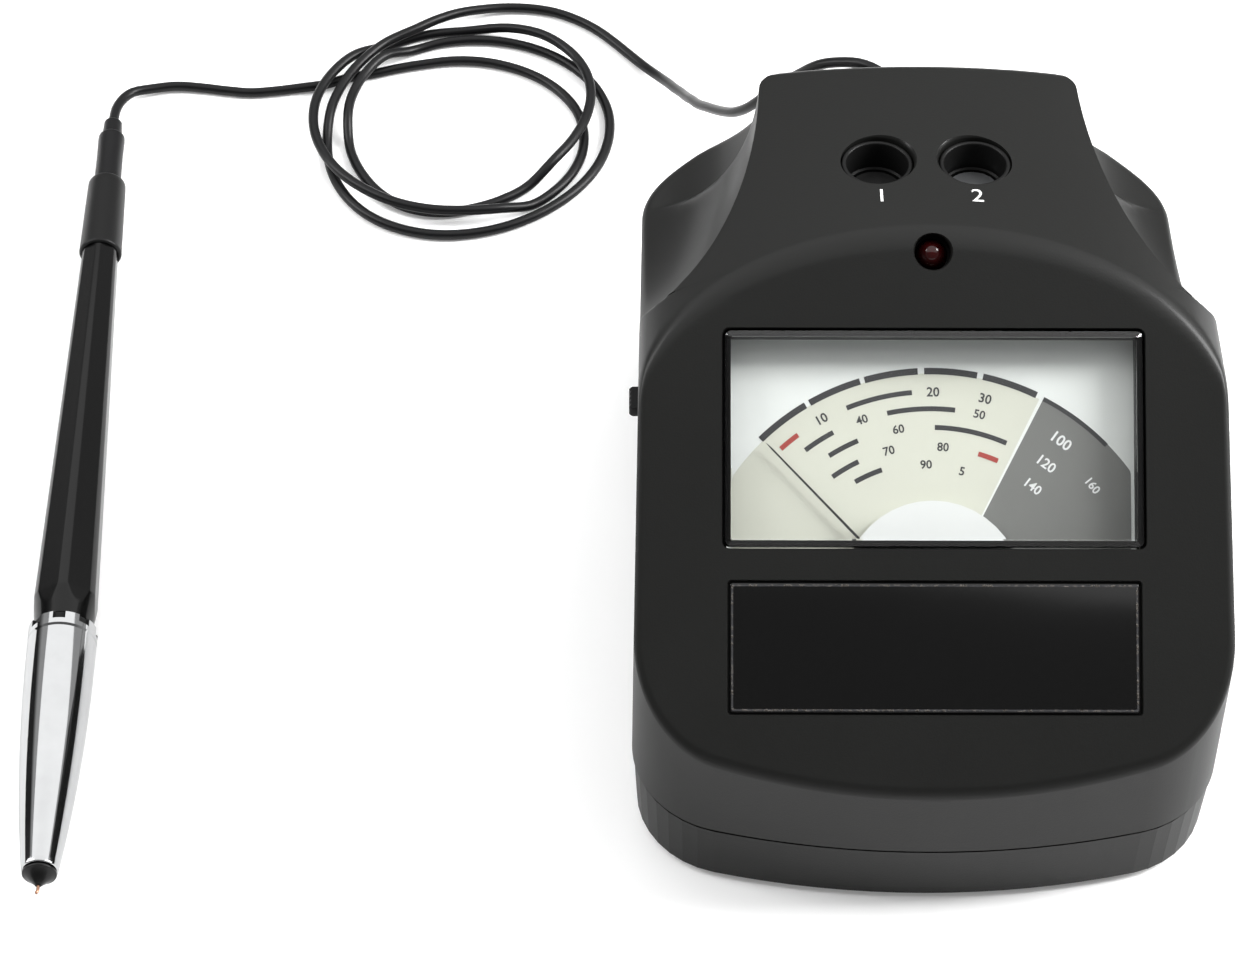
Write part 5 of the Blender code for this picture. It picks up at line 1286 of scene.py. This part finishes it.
    def skin(self, fine: float, wall: float, name: str) -> Mesh:
        """The top as rows across the plan, with walls down to the parting line and a flat underside.

        Args:
            fine: 1 for the outer skin, more for a coarser one.
            wall: how far under the outer skin it lies.
            name: the mesh's name.

        Returns:
            A closed mesh, in place.
        """
        half_width, depth, bottom = self.at.half_width, self.at.depth, self.at.shell_low
        y = self.rows(fine)
        wide, crease = self.half_width(y)[:, None], self.crease(y)[:, None]
        inner = 1 - (1 - np.linspace(0, 1, round(64 / fine))) ** 1.5
        outer = (1 - np.cos(math.pi * np.linspace(0, 1, round(36 / fine))[1:])) / 2
        half = np.concatenate([crease * inner, crease + (wide - crease) * outer], axis=1)
        x = np.concatenate([-half[:, :0:-1], half], axis=1)
        along = np.broadcast_to(y[:, None], x.shape)
        if wall:
            x = x * (1 - wall / half_width)
            along = wall + along * (1 - 2 * wall / depth)
        grid = np.stack([x, along, self.top(x, along, wall)], axis=-1).reshape(-1, 3)
        count, across = x.shape
        index = np.arange(count * across).reshape(count, across)
        loop = np.concatenate([index[0], index[1:, -1], index[-1, -2::-1], index[-2:0:-1, 0]])
        rim = grid[loop]
        floor = bottom - (self.floor_sink if wall else 0.0)
        drops = np.concatenate([np.linspace(0, 1, 12)[1:-1] ** 1.3, [0.985, 1.0]])
        levels = [np.column_stack([rim[:, :2], rim[:, 2] + (floor - rim[:, 2]) * share]) for share in drops]
        if not wall:
            levels[-1][:, :2] -= (rim[:, :2] - [0, depth / 2]) * self.tuck
        points = np.concatenate([grid] + levels)
        added = count * across + np.arange(len(levels) * len(loop)).reshape(len(levels), -1)
        numbers = np.concatenate([loop[None], added])
        ahead = np.roll(numbers, -1, axis=1)
        quads = np.stack([ahead[:-1], numbers[:-1], numbers[1:], ahead[1:]], axis=-1)
        faces = grid_faces(count, across, False) + quads.reshape(-1, 4).tolist() + [numbers[-1].tolist()]
        draft = 1 - self.draft * (points[:, 2:] - bottom) / half_width
        points[:, :2] = points[:, :2] * draft + np.array([0, depth / 2]) * (1 - draft)
        return put(sealed(mesh_from(points, faces, name)), self.at.base)

    def opening(self, patch: FacePatch, floor: float, name: str) -> Mesh:
        """A round-cornered tool through the face, flared a little at its mouth.

        Args:
            patch: what it holds.
            floor: how deep it goes.
            name: the tool's name.

        Returns:
            The tool in place.
        """
        flare = 0.00022
        room = CLEARANCE + flare
        levels = ((flare, -floor), (flare, -2 * flare), (flare * 0.6, -flare * 0.8), (0.0, 0.0), (0.0, 0.003))
        mesh = rounded_slab(patch.half + room, patch.reach + room, patch.corner + flare, levels, name)
        return put(mesh, self.at.face(0, patch.middle))

    def build(self) -> None:
        """Make the shell and cut its openings."""
        shell = new_piece("upper_shell", self.skin(1.0, 0.0, "upper_shell"), "charcoal_shell",
                          replaces="upper_housing", angle=38.0)
        lamp, well = LAMP_HOLE, WELL_HOLE
        mouth = lathe([(0, -0.012), (lamp, -0.012), (lamp, -0.0006), (lamp + 0.00025, 0.0001),
                       (lamp + 0.0006, 0.0012), (lamp + 0.0006, 0.008), (0, 0.008)], "lamp_hole", 64)
        tools = [self.skin(2.2, self.wall, "core"), self.opening(WINDOW, 0.009, "window"),
                 self.opening(PLATE, 0.0014, "plate_bed"), put(mouth, self.at.face(0, LAMP_PLACE))]
        for side in (-1, 1):
            mesh = lathe([(0, -0.02), (well, -0.02), (well, -0.0008), (well + 0.00006, -0.0005),
                          (well + 0.00035, -0.0001), (well + 0.0012, 0.0008), (well + 0.0012, 0.02),
                          (0, 0.02)], "well_hole")
            tools.append(put(mesh, self.at.deck(side * WELL_SPREAD / 2, WELL_PLACE)))
        mesh = lathe([(0, -0.008), (0.0026, -0.008), (0.0026, 0.006), (0, 0.006)], "gland_hole", 48)
        tools.append(put(mesh, self.at.rear(*GLAND_SPOT)))
        slot = rounded_slab(0.0014, 0.0048, 0.0004, ((0, -0.006), (0, 0.006)), "switch_slot", 4)
        tools.append(put(slot, self.at.spot(*SWITCH_SPOT) @ Matrix.Rotation(QUARTER, 4, "Y")))
        carve(shell, tools)
        dress(shell.data, "charcoal_shell", 38.0)


# What the console carries


DIAL_ARCS = ((134.2, 120.9), (119.8, 106.9), (105.8, 93.1), (91.6, 79.1), (77.7, 64.4))
DIAL_BARS = ((37.5, 112.2, 94.9), (34.65, 102.3, 83.3), (31.5, 88.9, 66.4), (34.75, 127.4, 118.2),
             (31.7, 122.7, 112.8), (28.45, 125.6, 115.4), (25.7, 119.8, 108.8))
DIAL_RED_BARS = ((37.55, 132.2, 126.5), (28.18, 73.8, 66.7))
DIAL_NUMBERS = (("10", 37.6, 119.3, 2.2), ("20", 37.4, 89.5, 2.2), ("30", 37.4, 76.0, 2.2),
                ("40", 34.7, 109.5, 2.0), ("50", 34.6, 76.5, 2.0), ("60", 31.6, 100.0, 2.0),
                ("70", 28.4, 104.5, 2.0), ("80", 28.2, 86.0, 2.0), ("90", 25.2, 92.0, 2.0),
                ("5", 24.6, 78.0, 2.0))
SECTOR_NUMBERS = (("100", 36.4, 53.5, 2.6), ("120", 31.8, 53.0, 2.4), ("140", 27.4, 52.0, 2.2),
                  ("160", 34.6, 39.0, 2.0))


@dataclass
class Meter:
    """The meter under its clear cover: printed dial, fine needle and cover.

    Places on the dial are polar about the needle's pivot, in millimetres and degrees.
    """

    at: Placing
    pivot: float = 0.0303
    surface: float = -0.0062
    arc: float = 41.0
    bar_half: float = 0.42
    frame: float = 0.0014
    fan: tuple[float, float] = (63.0, 163.6)
    sector: tuple[float, float] = (18.0, 63.0)
    hub_radius: float = 8.0
    needle_angle: float = math.radians(134.0)
    lens_wall: float = 0.0012
    lens_drop: float = -0.0034

    def polar(self, radius: Grid, degrees: Grid) -> Grid:
        """Places on the face from polar ones about the pivot."""
        angle = np.radians(degrees)
        return np.stack([radius * np.cos(angle) / 1000, self.pivot + radius * np.sin(angle) / 1000], axis=-1)

    def sheet(self, rows: Grid, level: float, name: str) -> Mesh:
        """A thin printed layer from a grid of places on the dial.

        Args:
            rows: an array of rows, points and x, y on the face.
            level: how far over the dial it lies.
            name: the mesh's name.

        Returns:
            The mesh in place.
        """
        count, across = rows.shape[:2]
        flat = np.column_stack([rows.reshape(-1, 2), np.zeros(count * across)])
        return put(mesh_from(flat, grid_faces(count, across, False), name),
                   self.at.face(0, 0, self.surface + level))

    def band(self, radius: float, below: float, above: float, start: float, end: float, level: float = 0.00006,
             name: str = "bar") -> Mesh:
        """A printed piece of a ring about the pivot.

        Args:
            radius: its middle line.
            below: how far it reaches in.
            above: how far it reaches out.
            start: its first angle.
            end: its last angle.
            level: how far over the dial it lies.
            name: the mesh's name.

        Returns:
            The mesh in place.
        """
        angle = np.linspace(start, end, max(3, round(abs(end - start) / 1.2)))
        rows = np.stack([self.polar(reach, angle) for reach in np.linspace(radius - below, radius + above, 3)])
        return self.sheet(rows, level, name)

    def bounded(self, start: float, end: float, outer: float, name: str) -> Mesh:
        """A printed sector that stops at the window's edges.

        Args:
            start: its first angle.
            end: its last angle.
            outer: its outer radius.
            name: the mesh's name.

        Returns:
            The mesh in place.
        """
        angle = np.linspace(start, end, 60)
        spin = np.radians(angle)
        reach = np.minimum(outer, 1000 * (WINDOW.half - self.frame) / np.maximum(np.abs(np.cos(spin)), 1e-6))
        first = np.maximum(self.hub_radius, 1000 * (WINDOW.low - 0.001 - self.pivot) / np.maximum(np.sin(spin), 0.02))
        first = np.minimum(first, reach - 0.1)
        rows = np.stack([self.polar(first + (reach - first) * share, angle) for share in np.linspace(0, 1, 8)])
        return self.sheet(rows, 0.00004, name)

    def number(self, text: str, radius: float, degrees: float, size: float, level: float) -> Mesh:
        """A plain printed number that follows its arc.

        Args:
            text: what it says.
            radius: its place from the pivot.
            degrees: its angle.
            size: its height in millimetres.
            level: how far over the dial it lies.

        Returns:
            The mesh in place.
        """
        mesh = typeset("number_" + text, text, size / 1000, 3, 0.02 * size / 1000)
        x, y = self.polar(radius, degrees)
        turn = Matrix.Rotation(math.radians(degrees - 90), 4, "Z")
        return put(mesh, self.at.face(x, y, self.surface + level) @ turn)

    def dial(self) -> None:
        """Print the dial: a pale field, a cream fan, a dark sector, arcs, bars and plain numbers."""
        half, bar = WINDOW.half - self.frame, self.bar_half
        x, y = np.meshgrid(np.linspace(-half, half, 12),
                           np.linspace(WINDOW.low - 0.004, WINDOW.high - self.frame, 8))
        marks = [self.band(self.arc, 0.55, 0.55, *ends, name="arc") for ends in DIAL_ARCS]
        marks += [self.band(self.arc, 0.45, 0.3, 62.6, 44.2, name="arc")]
        marks += [self.band(radius, bar, bar, *ends) for radius, *ends in DIAL_BARS]
        reds = [self.band(radius, bar, bar, *ends, 0.00007, "red_bar") for radius, *ends in DIAL_RED_BARS]
        for name, slot, look, parts in (
                ("dial_field", "dial_white", "dial_field", [self.sheet(np.stack([x, y], -1), 0.00002, "field")]),
                ("dial_fan", "dial_white", "dial_cream",
                 [self.bounded(self.fan[0] + 0.4, self.fan[1], self.arc - 0.4, "fan")]),
                ("dial_sector", "needle_black", "dial_grey",
                 [self.bounded(self.sector[0], self.sector[1] - 0.4, self.arc + 0.2, "sector")]),
                ("dial_marks", "needle_black", "dial_black", marks),
                ("dial_red_marks", "lamp_red", "dial_red", reds),
                ("dial_numbers", "needle_black", "dial_black",
                 [self.number(*each, 0.00006) for each in DIAL_NUMBERS]),
                ("dial_sector_numbers", "dial_white", "white_ink",
                 [self.number(*each, 0.00008) for each in SECTOR_NUMBERS])):
            new_piece(name, joined(parts, name), slot, look)

    def needle(self) -> None:
        """The needle: a fine blade that tapers to its tip, a short tail and the hub."""
        level, hub = self.surface + 0.0013, 0.0016
        stations = ((-0.0055, 0.0003, 0.00015), (-0.0048, 0.00035, 0.0002), (0.0, 0.00030, 0.0002),
                    (0.02, 0.00020, 0.00015), (0.0385, 0.00014, 0.0001), (0.0398, 0.00004, 0.00006))
        rows = [[(x, -half, -thick), (x, half, -thick), (x, half, thick), (x, -half, thick)]
                for x, half, thick in stations]
        turn = Matrix.Rotation(self.needle_angle, 4, "Z")
        blade = put(loft(np.array(rows), "blade"), Matrix.Translation((0, 0, level)) @ turn)
        axle = lathe([(0, -0.0092), (hub, -0.0092), (hub, level), (hub - 0.0002, level + 0.0002),
                      (0, level + 0.0002)], "hub", 48)
        new_piece("fine_needle", put(joined((blade, axle), "needle_form"), self.at.face(0, self.pivot)),
                  "needle_black", replaces="needle", body=Body.NEEDLE)

    def cover(self) -> None:
        """The clear cover, a shallow tray turned over with a bevelled outer edge; its walls carry painted shade, a
        dark finish standing for the dark sides seen through the clear plastic.
        """
        wall, drop, place = self.lens_wall, self.lens_drop, self.at.face(0, WINDOW.middle)
        levels = ((wall, -0.0006), (wall, drop), (0.0, drop), (0.0, 0.00005), (0.00006, 0.00016),
                  (0.00105, 0.00064), (0.00122, 0.0007))
        mesh = put(rounded_slab(WINDOW.half, WINDOW.reach, WINDOW.corner, levels, "cover", 10), place)
        new_piece("clear_cover", mesh, "clear_cover", replaces="window_lens", angle=12.0)
        room = wall + 0.0001

        def in_painted_shade_wall(places: Grid) -> Grid:
            """Tell which places lie in the cover's walls, under its upper side, where the painted shade goes."""
            x, y, z = np.abs(places[:, 0]), np.abs(places[:, 1]), places[:, 2]
            return ((x > WINDOW.half - room) | (y > WINDOW.reach - room)) & (z < 0.0)

        # Painted shade: the clear cover's walls get the dark plastic finish, in place of the dark sides seen through
        # them.
        add_second_look(mesh, "black_plastic", place, in_painted_shade_wall)


@dataclass
class Fittings:
    """The gloss plate, the lamp, the two wells, the slide switch's knob and the cord's gland."""

    at: Placing
    number_spot: tuple[float, float] = (0.0081, 0.0864)
    number_size: float = 0.0046
    lamp_radius: float = 0.0025
    lamp_sink: float = 0.0014

    def plate(self) -> None:
        """The gloss plate with a softly rounded edge, and its fine bright border."""
        sink, soft, place = 0.0003, 0.0003, self.at.face(0, PLATE.middle)
        levels = [(0.0, -sink - 0.0008)] + arc_points(soft, -sink - soft, -soft, soft)
        mesh = rounded_slab(PLATE.half, PLATE.reach, PLATE.corner, levels, "plate")
        new_piece("gloss_plate", put(mesh, place), "gloss_black", replaces="front_plate")
        loops = [rounded_loop(PLATE.half - inset, PLATE.reach - inset, corner, 6)
                 for inset, corner in ((0.0003, 0.0004), (0.00062, 0.0003))]
        flat = np.concatenate(loops)
        points = np.column_stack([flat, np.full(len(flat), -sink + 0.00002)])
        mesh = mesh_from(points, grid_faces(2, len(loops[0])), "border")
        new_piece("plate_border", put(mesh, place), "gloss_black", "foil_border")

    def lamp(self) -> None:
        """The red lamp's domed body with its flange."""
        radius = self.lamp_radius
        centre = -self.lamp_sink - radius
        flange, base = 0.0029, centre - 0.0037
        profile = [(0, base), (flange, base), (flange, centre - 0.0027), (radius, centre - 0.0026)]
        mesh = lathe(profile + arc_points(0, centre, radius, radius, count=18), "lamp", 72)
        new_piece("red_lamp", put(mesh, self.at.face(0, LAMP_PLACE)), "lamp_red", replaces="indicator_lamp")

    def gland(self) -> None:
        """The cord's gland: a collar and three soft rings that taper towards the cord."""
        profile = [(CORD_BORE, -0.002), (0.0023, -0.002), (0.0023, 0.0), (0.0032, 0.0), (0.0032, 0.0008),
                   (0.0029, 0.0012)]
        for step in range(3):
            start, radius = 0.0014 + step * 0.0013, 0.0025 - step * 0.0003
            profile += [(radius - 0.0004, start), (radius, start + 0.0003), (radius, start + 0.0008),
                        (radius - 0.0004, start + 0.0011)]
        profile += [(0.0016, 0.0052), (CORD_BORE, 0.0052)]
        mesh = put(lathe(profile, "gland", 64, closed=True), self.at.rear(*GLAND_SPOT))
        new_piece("ribbed_gland", mesh, "rubber_black", replaces="cord_gland")

    def knob(self) -> None:
        """The slide switch's ribbed knob, in rows of six points along its travel."""
        low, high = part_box("switch_knob")
        ribs, rib_height, soft, bevel = 5, 0.00018, 0.0003, 0.0002
        x, half, tall = low[0], (high[1] - low[1]) / 2, (high[2] - low[2]) / 2
        y, z = (low[1] + high[1]) / 2, (low[2] + high[2]) / 2
        back = x + min(0.0045, high[0] - low[0])
        rows = []
        for place in np.linspace(-half, half, 41):
            edge = np.clip((half - abs(place)) / soft, 0, 1)
            rib = rib_height * (0.5 - 0.5 * math.cos(math.pi * ribs * place / half))
            front = x + rib + soft * (1 - math.sqrt(edge * (2 - edge)))
            rows.append([(across, y + place, z + height) for across, height in (
                (back, -tall), (front + bevel, -tall), (front, bevel - tall), (front, tall - bevel),
                (front + bevel, tall), (back, tall))])
        new_piece("slide_knob", loft(np.array(rows), "knob"), "black_plastic", replaces="switch_knob",
                  body=Body.SWITCH)

    def well(self, side: int, text: str) -> None:
        """One cup with a rounded rim, a floor and a fine step inside, and the plain number before it.

        Args:
            side: -1 for the left one, 1 for the right one.
            text: the number.
        """
        outer, inner, top, low, soft = 0.0061, 0.0053, -0.0011, -0.0082, 0.0003
        profile = [(0, low - 0.0009), (outer, low - 0.0009)]
        profile += arc_points((outer + inner) / 2, top - soft, (outer - inner) / 2, soft, 0, math.pi, 9)
        profile += [(inner, low + 0.0018), (inner - soft, low + 0.0015), (inner - soft, low), (0, low)]
        name = "well_cup_" + ("left" if side < 0 else "right")
        mesh = put(lathe(profile, "well", 120), self.at.deck(side * WELL_SPREAD / 2, WELL_PLACE))
        new_piece(name + "_form", mesh, "black_plastic", replaces=name)
        x, y = side * self.number_spot[0], self.number_spot[1]
        level = 0.00005 - self.at.crown_drop(x)
        lean = Matrix.Rotation(math.atan2(self.at.crown * x / self.at.half_width ** 2, 1.0), 4, "Y")
        mesh = put(typeset("deck_number", text, self.number_size, 4),
                   self.at.deck(x, y) @ Matrix.Translation((0, 0, level)) @ lean)
        new_piece("deck_number_" + text, mesh, "dial_white", "white_ink")


# The probe


@dataclass
class Probe:
    """The pen-shaped probe that lies beside the console; its axis runs from the tip to the cord."""

    tip_front: Place = (-0.09662, -0.09276, 0.007227)
    axis: Place = (-0.020938, 0.999568, -0.020649)
    down: Place = (0.000432, -0.020644, -0.999787)
    nose_start: float = 0.003
    nose_radius: float = 0.0032
    ring_start: float = 0.0524
    ring_length: float = 0.003
    ring_radius: float = 0.00615
    notches: int = 8
    notch_depth: float = 0.0006
    notch_half: float = 0.0011
    barrel_start: float = 0.0557
    barrel_end: float = 0.1637
    barrel_cone: float = 0.0062
    barrel_front_radius: float = 0.0051
    barrel_radius: float = 0.0059
    barrel_end_radius: float = 0.0032
    flats: int = 6
    flat_share: float = 0.93
    sleeve_span: tuple[float, float] = (0.150, 0.1698)
    sleeve_radii: tuple[float, float] = (0.00412, 0.00367)
    pin_radius: float = 0.0003
    frame_of: Matrix = field(init=False)

    def __post_init__(self) -> None:
        """Work out the probe's own axes: +Z back along it, +Y down."""
        back = Vector(self.axis).normalized()
        across = Vector(self.down).cross(back).normalized()
        turn = Matrix((across, back.cross(across), back)).transposed().to_4x4()
        self.frame_of = Matrix.Translation(self.tip_front) @ turn

    def turned(self, profile: Profile, name: str, slot: str, replaces: str) -> None:
        """Turn a closed profile about the probe's axis and make it a piece.

        Args:
            profile: radius and place of each point.
            name: the piece's name.
            slot: the record's material slot, and its finish.
            replaces: the CAD node it stands for.
        """
        mesh = put(lathe(profile, name, 128, closed=True), self.frame_of)
        new_piece(name, mesh, slot, replaces=replaces, angle=40.0)

    def nose(self) -> None:
        """The plated nose: its radius grows from the tip as one less a power of what is left."""
        start, end, bore, soft = self.nose_start, self.ring_start - 0.0001, 0.0024, 0.0003
        share = np.linspace(0, 1, 80)[2:-1] ** 1.15
        radius = self.nose_radius + (self.ring_radius - self.nose_radius) * (1 - (1 - share) ** 2.1)
        place = start + share * (end - start)
        profile = [(bore, start + 0.001), (bore, start)]
        profile += arc_points(self.nose_radius - soft, start + soft, soft, soft, -QUARTER, 0, 6)
        profile += list(zip(radius.tolist(), place.tolist()))
        profile += [(self.ring_radius, end - 0.0002), (self.ring_radius - 0.0002, end), (0.0050, end),
                    (0.0050, end - 0.003), (bore, start + 0.01)]
        self.turned(profile, "plated_nose", "chrome", "probe_nose")

    def ring(self) -> None:
        """The plated ring with square notches open to the rear; their floors are dark."""
        start, end, radius = self.ring_start, self.ring_start + self.ring_length, self.ring_radius
        middle, half, side, bore = start + self.ring_length * 0.45, self.notch_half / radius, 0.004, 0.0047
        pitch = TURN / self.notches
        local = [-half - side, -half, -half / 2, 0, half / 2, half, half + side]
        plain = np.linspace(half + side, pitch - half - side, 10)[1:-1]
        angle = np.concatenate([np.concatenate([local, plain]) + pitch * count for count in range(self.notches)])
        cut = np.tile([False] + [True] * 5 + [False] * (1 + len(plain)), self.notches)
        stations = ((start, radius - 0.0003, False), (start + 0.0003, radius, False),
                    (middle - 0.00003, radius, False), (middle, radius, True), (end - 0.0002, radius, True),
                    (end, radius - 0.0002, True), (end, bore, False), (start, bore, False),
                    (start, radius - 0.0003, False))
        rows = [ring_rows(np.where(cut & notched, radius - self.notch_depth, size), angle, place)
                for place, size, notched in stations]
        mesh = put(loft(np.array(rows), "ring", False), self.frame_of)
        new_piece("notched_ring", mesh, "chrome", replaces="probe_ring", angle=30.0)

        def in_notch(places: Grid) -> Grid:
            """Tell which places lie in a notch."""
            reach = np.hypot(places[:, 0], places[:, 1])
            return (places[:, 2] > middle - 0.00002) & (reach < radius - 0.0002) & (reach > 0.0051)

        add_second_look(mesh, "disc_dark", self.frame_of, in_notch)

    def barrel(self) -> None:
        """The faceted barrel: a round cone at the front that the flats cut into scallops.

        The radius at a place is the lower of the cone's and of the flat's, whose distance from the
        axis is divided by the cosine of the angle from the flat's middle.
        """
        start, end, full, front = self.barrel_start, self.barrel_end, self.barrel_radius, self.barrel_front_radius
        fine, lead = start + 0.009, start + self.barrel_cone
        place = np.concatenate([np.linspace(start, fine, 46), np.linspace(fine, end, 60)[1:]])[:, None]
        angle = np.linspace(0, TURN, 240, endpoint=False)
        body = full + (self.barrel_end_radius - full) * np.clip((place - lead) / (end - lead), 0, 1)
        cone = front + (full - front) * np.clip((place - start) / self.barrel_cone, 0, 1)
        pitch = TURN / self.flats
        off = np.mod(angle + pitch / 2, pitch) - pitch / 2
        reach = smooth_min(np.minimum(body, cone), body * self.flat_share / np.cos(off), 0.00008)
        lip = np.clip((place - start) / 0.0004, 0, 1)
        reach = reach - 0.0003 * (1 - np.sqrt(lip * (2 - lip)))
        mesh = put(loft(ring_rows(reach, angle, place), "barrel"), self.frame_of)
        new_piece("faceted_barrel", mesh, "barrel_black", replaces="probe_barrel", angle=60.0)

    def sleeve(self) -> None:
        """The shrunk sleeve, with a rolled lip in front and a round shoulder behind."""
        (start, end), (first, last), lip, shoulder = self.sleeve_span, self.sleeve_radii, 0.0006, 0.0008
        place = np.linspace(start + lip, end - 2 * shoulder, 40)
        radius = first + (last - first) * (place - start) / (end - start)
        profile = [(0.0030, start + 0.002), (0.0034, start + 0.0001)]
        profile += arc_points(first - lip, start + lip, lip, lip, 0.25 - QUARTER, 0, 6)
        profile += list(zip(radius.tolist(), place.tolist()))
        profile += arc_points(last - shoulder, end - shoulder, shoulder, shoulder, 0.2, QUARTER, 8)
        profile += [(0.0027, end), (0.0027, start + 0.014)]
        self.turned(profile, "shrunk_sleeve", "sleeve_black", "probe_sleeve")

    def boot(self) -> None:
        """The boot: a long first step, hollowed a little, and a thin second one."""
        start, run, wide, soft = 0.1700, 0.0128, 0.0026, 0.0004
        profile = [(CORD_BORE, 0.1642), (wide, 0.1642), (wide, start)]
        profile += [(wide - 0.0001 * math.sin(math.pi * share) + 0.00006, start + run * share)
                    for share in np.linspace(0, 1, 14)[1:-1]]
        profile += [(wide, 0.1827)] + arc_points(wide - soft, 0.1828, soft, soft)
        profile += [(0.0020, 0.1833), (0.0019, 0.1850), (0.0018, 0.1868)]
        profile += arc_points(0.0014, 0.1870, soft, soft) + [(CORD_BORE, 0.1874)]
        self.turned(profile, "stepped_boot", "rubber_black", "probe_boot")

    def tip(self) -> None:
        """The tip's dark cone, with a rounded rim."""
        profile = [(0.00042, 0.0086), (0.00042, 0.0)]
        profile += arc_points(0.00045, 0.0002, 0.0002, 0.0002, -QUARTER, 0) + [(0.0027, 0.00215)]
        profile += arc_points(0.0027, 0.0024, 0.0003, 0.00025, 0.6 - QUARTER, 0)
        profile += [(0.0030, 0.0026), (0.0029, 0.0027), (0.0022, 0.0027), (0.0022, 0.0086)]
        self.turned(profile, "tip_cone", "ceramic", "probe_tip")

    def pin(self) -> None:
        """The sprung copper pin, a tube along a line that bends a little at its end."""
        bend = np.linspace(0, 1.0, 14)
        hook = np.column_stack([-0.00042 * bend ** 1.6, np.zeros(14), -0.00085 - 0.00072 * np.sin(bend * 1.35)])
        line = np.concatenate([[[0, 0, 0.0075], [0, 0, 0.004], [0, 0, 0.0]], hook])
        ahead = np.gradient(line, axis=0)
        ahead /= np.linalg.norm(ahead, axis=1)[:, None]
        side = np.cross(ahead, [0.0, 1.0, 0.0])
        side /= np.linalg.norm(side, axis=1)[:, None]
        radius = np.full((len(line), 1, 1), self.pin_radius)
        radius[-2:, 0, 0] = 0.00026, 0.00012
        angle = np.linspace(0, TURN, 24, endpoint=False)[:, None]
        rows = line[:, None] + radius * (side[:, None] * np.cos(angle)
                                         + np.cross(side, ahead)[:, None] * np.sin(angle))
        new_piece("bent_pin", put(loft(rows, "pin"), self.frame_of), "copper", replaces="probe_pin", body=Body.PIN)


# The frame's own pieces


CORNERS = ("front_left", "front_right", "rear_left", "rear_right")
CAD_FINISHES = {
    "base_tray": "charcoal_shell", "battery_door": "charcoal_shell", "meter_case": "black_plastic",
    "dial_plate": "dial_field", "hub_cover": "hub_white", "moving_coil": "copper",
    "core_magnet": "magnet", "pole_ring": "bright_steel", "pivot_bridge": "brass", "lamp_holder": "black_plastic",
    "reference_disc_left": "disc_dark", "reference_disc_right": "disc_grey", "circuit_board": "board_green",
    "heater_regulator": "black_plastic", "board_capacitor": "cell_jacket", "switch_body": "black_plastic",
    "battery": "cell_jacket", "battery_clip": "black_plastic",
    "pin_spring": "bright_steel", "heater_tube": "bright_steel",
    **{"foot_" + corner: "rubber_black" for corner in CORNERS},
    **{"case_screw_" + corner: "bright_steel" for corner in CORNERS},
}
SMOOTHED = ("base_tray", "battery_door", "hub_cover", "lamp_holder", "meter_case", "reference_disc_left",
            "reference_disc_right", *("foot_" + corner for corner in CORNERS))


def finish_frame() -> None:
    """Give every CAD node that stays in view its finish; those seen from outside get welded, smooth copies."""
    for name, look in CAD_FINISHES.items():
        solid = frame["nodes"][name]
        if name in SMOOTHED:
            slot = "dial_white" if look == "hub_white" else look
            new_piece(name + "_smooth", joined([solid.data], name + "_smooth", 1e-6), slot, look, name,
                      Body(solid["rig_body"]), 16.0)
        else:
            dress(solid.data, look, 32.0)
            LOG.info("frame piece %s: %s", name, look)


def main() -> None:
    """Build the scene in order."""
    logging.basicConfig(level=logging.INFO, format="%(name)s: %(message)s")
    GROUPS.update({"moulded_grain": make_grain_group(), "edge_rub": make_wear_group(),
                   "drawn_metal": make_line_group()})
    LOOKS.update({finish.name: finish.material() for finish in FINISHES})
    studio = Studio()
    studio.camera()
    Cord().build()
    studio.floor()
    studio.lights()
    at = Placing()
    Shell(at).build()
    fittings = Fittings(at)
    fittings.plate()
    fittings.lamp()
    fittings.gland()
    fittings.knob()
    for side, text in ((-1, "1"), (1, "2")):
        fittings.well(side, text)
    meter = Meter(at)
    meter.dial()
    meter.cover()
    meter.needle()
    probe = Probe()
    probe.nose()
    probe.ring()
    probe.barrel()
    probe.sleeve()
    probe.boot()
    probe.tip()
    probe.pin()
    finish_frame()


if __name__ == "__main__":
    main()
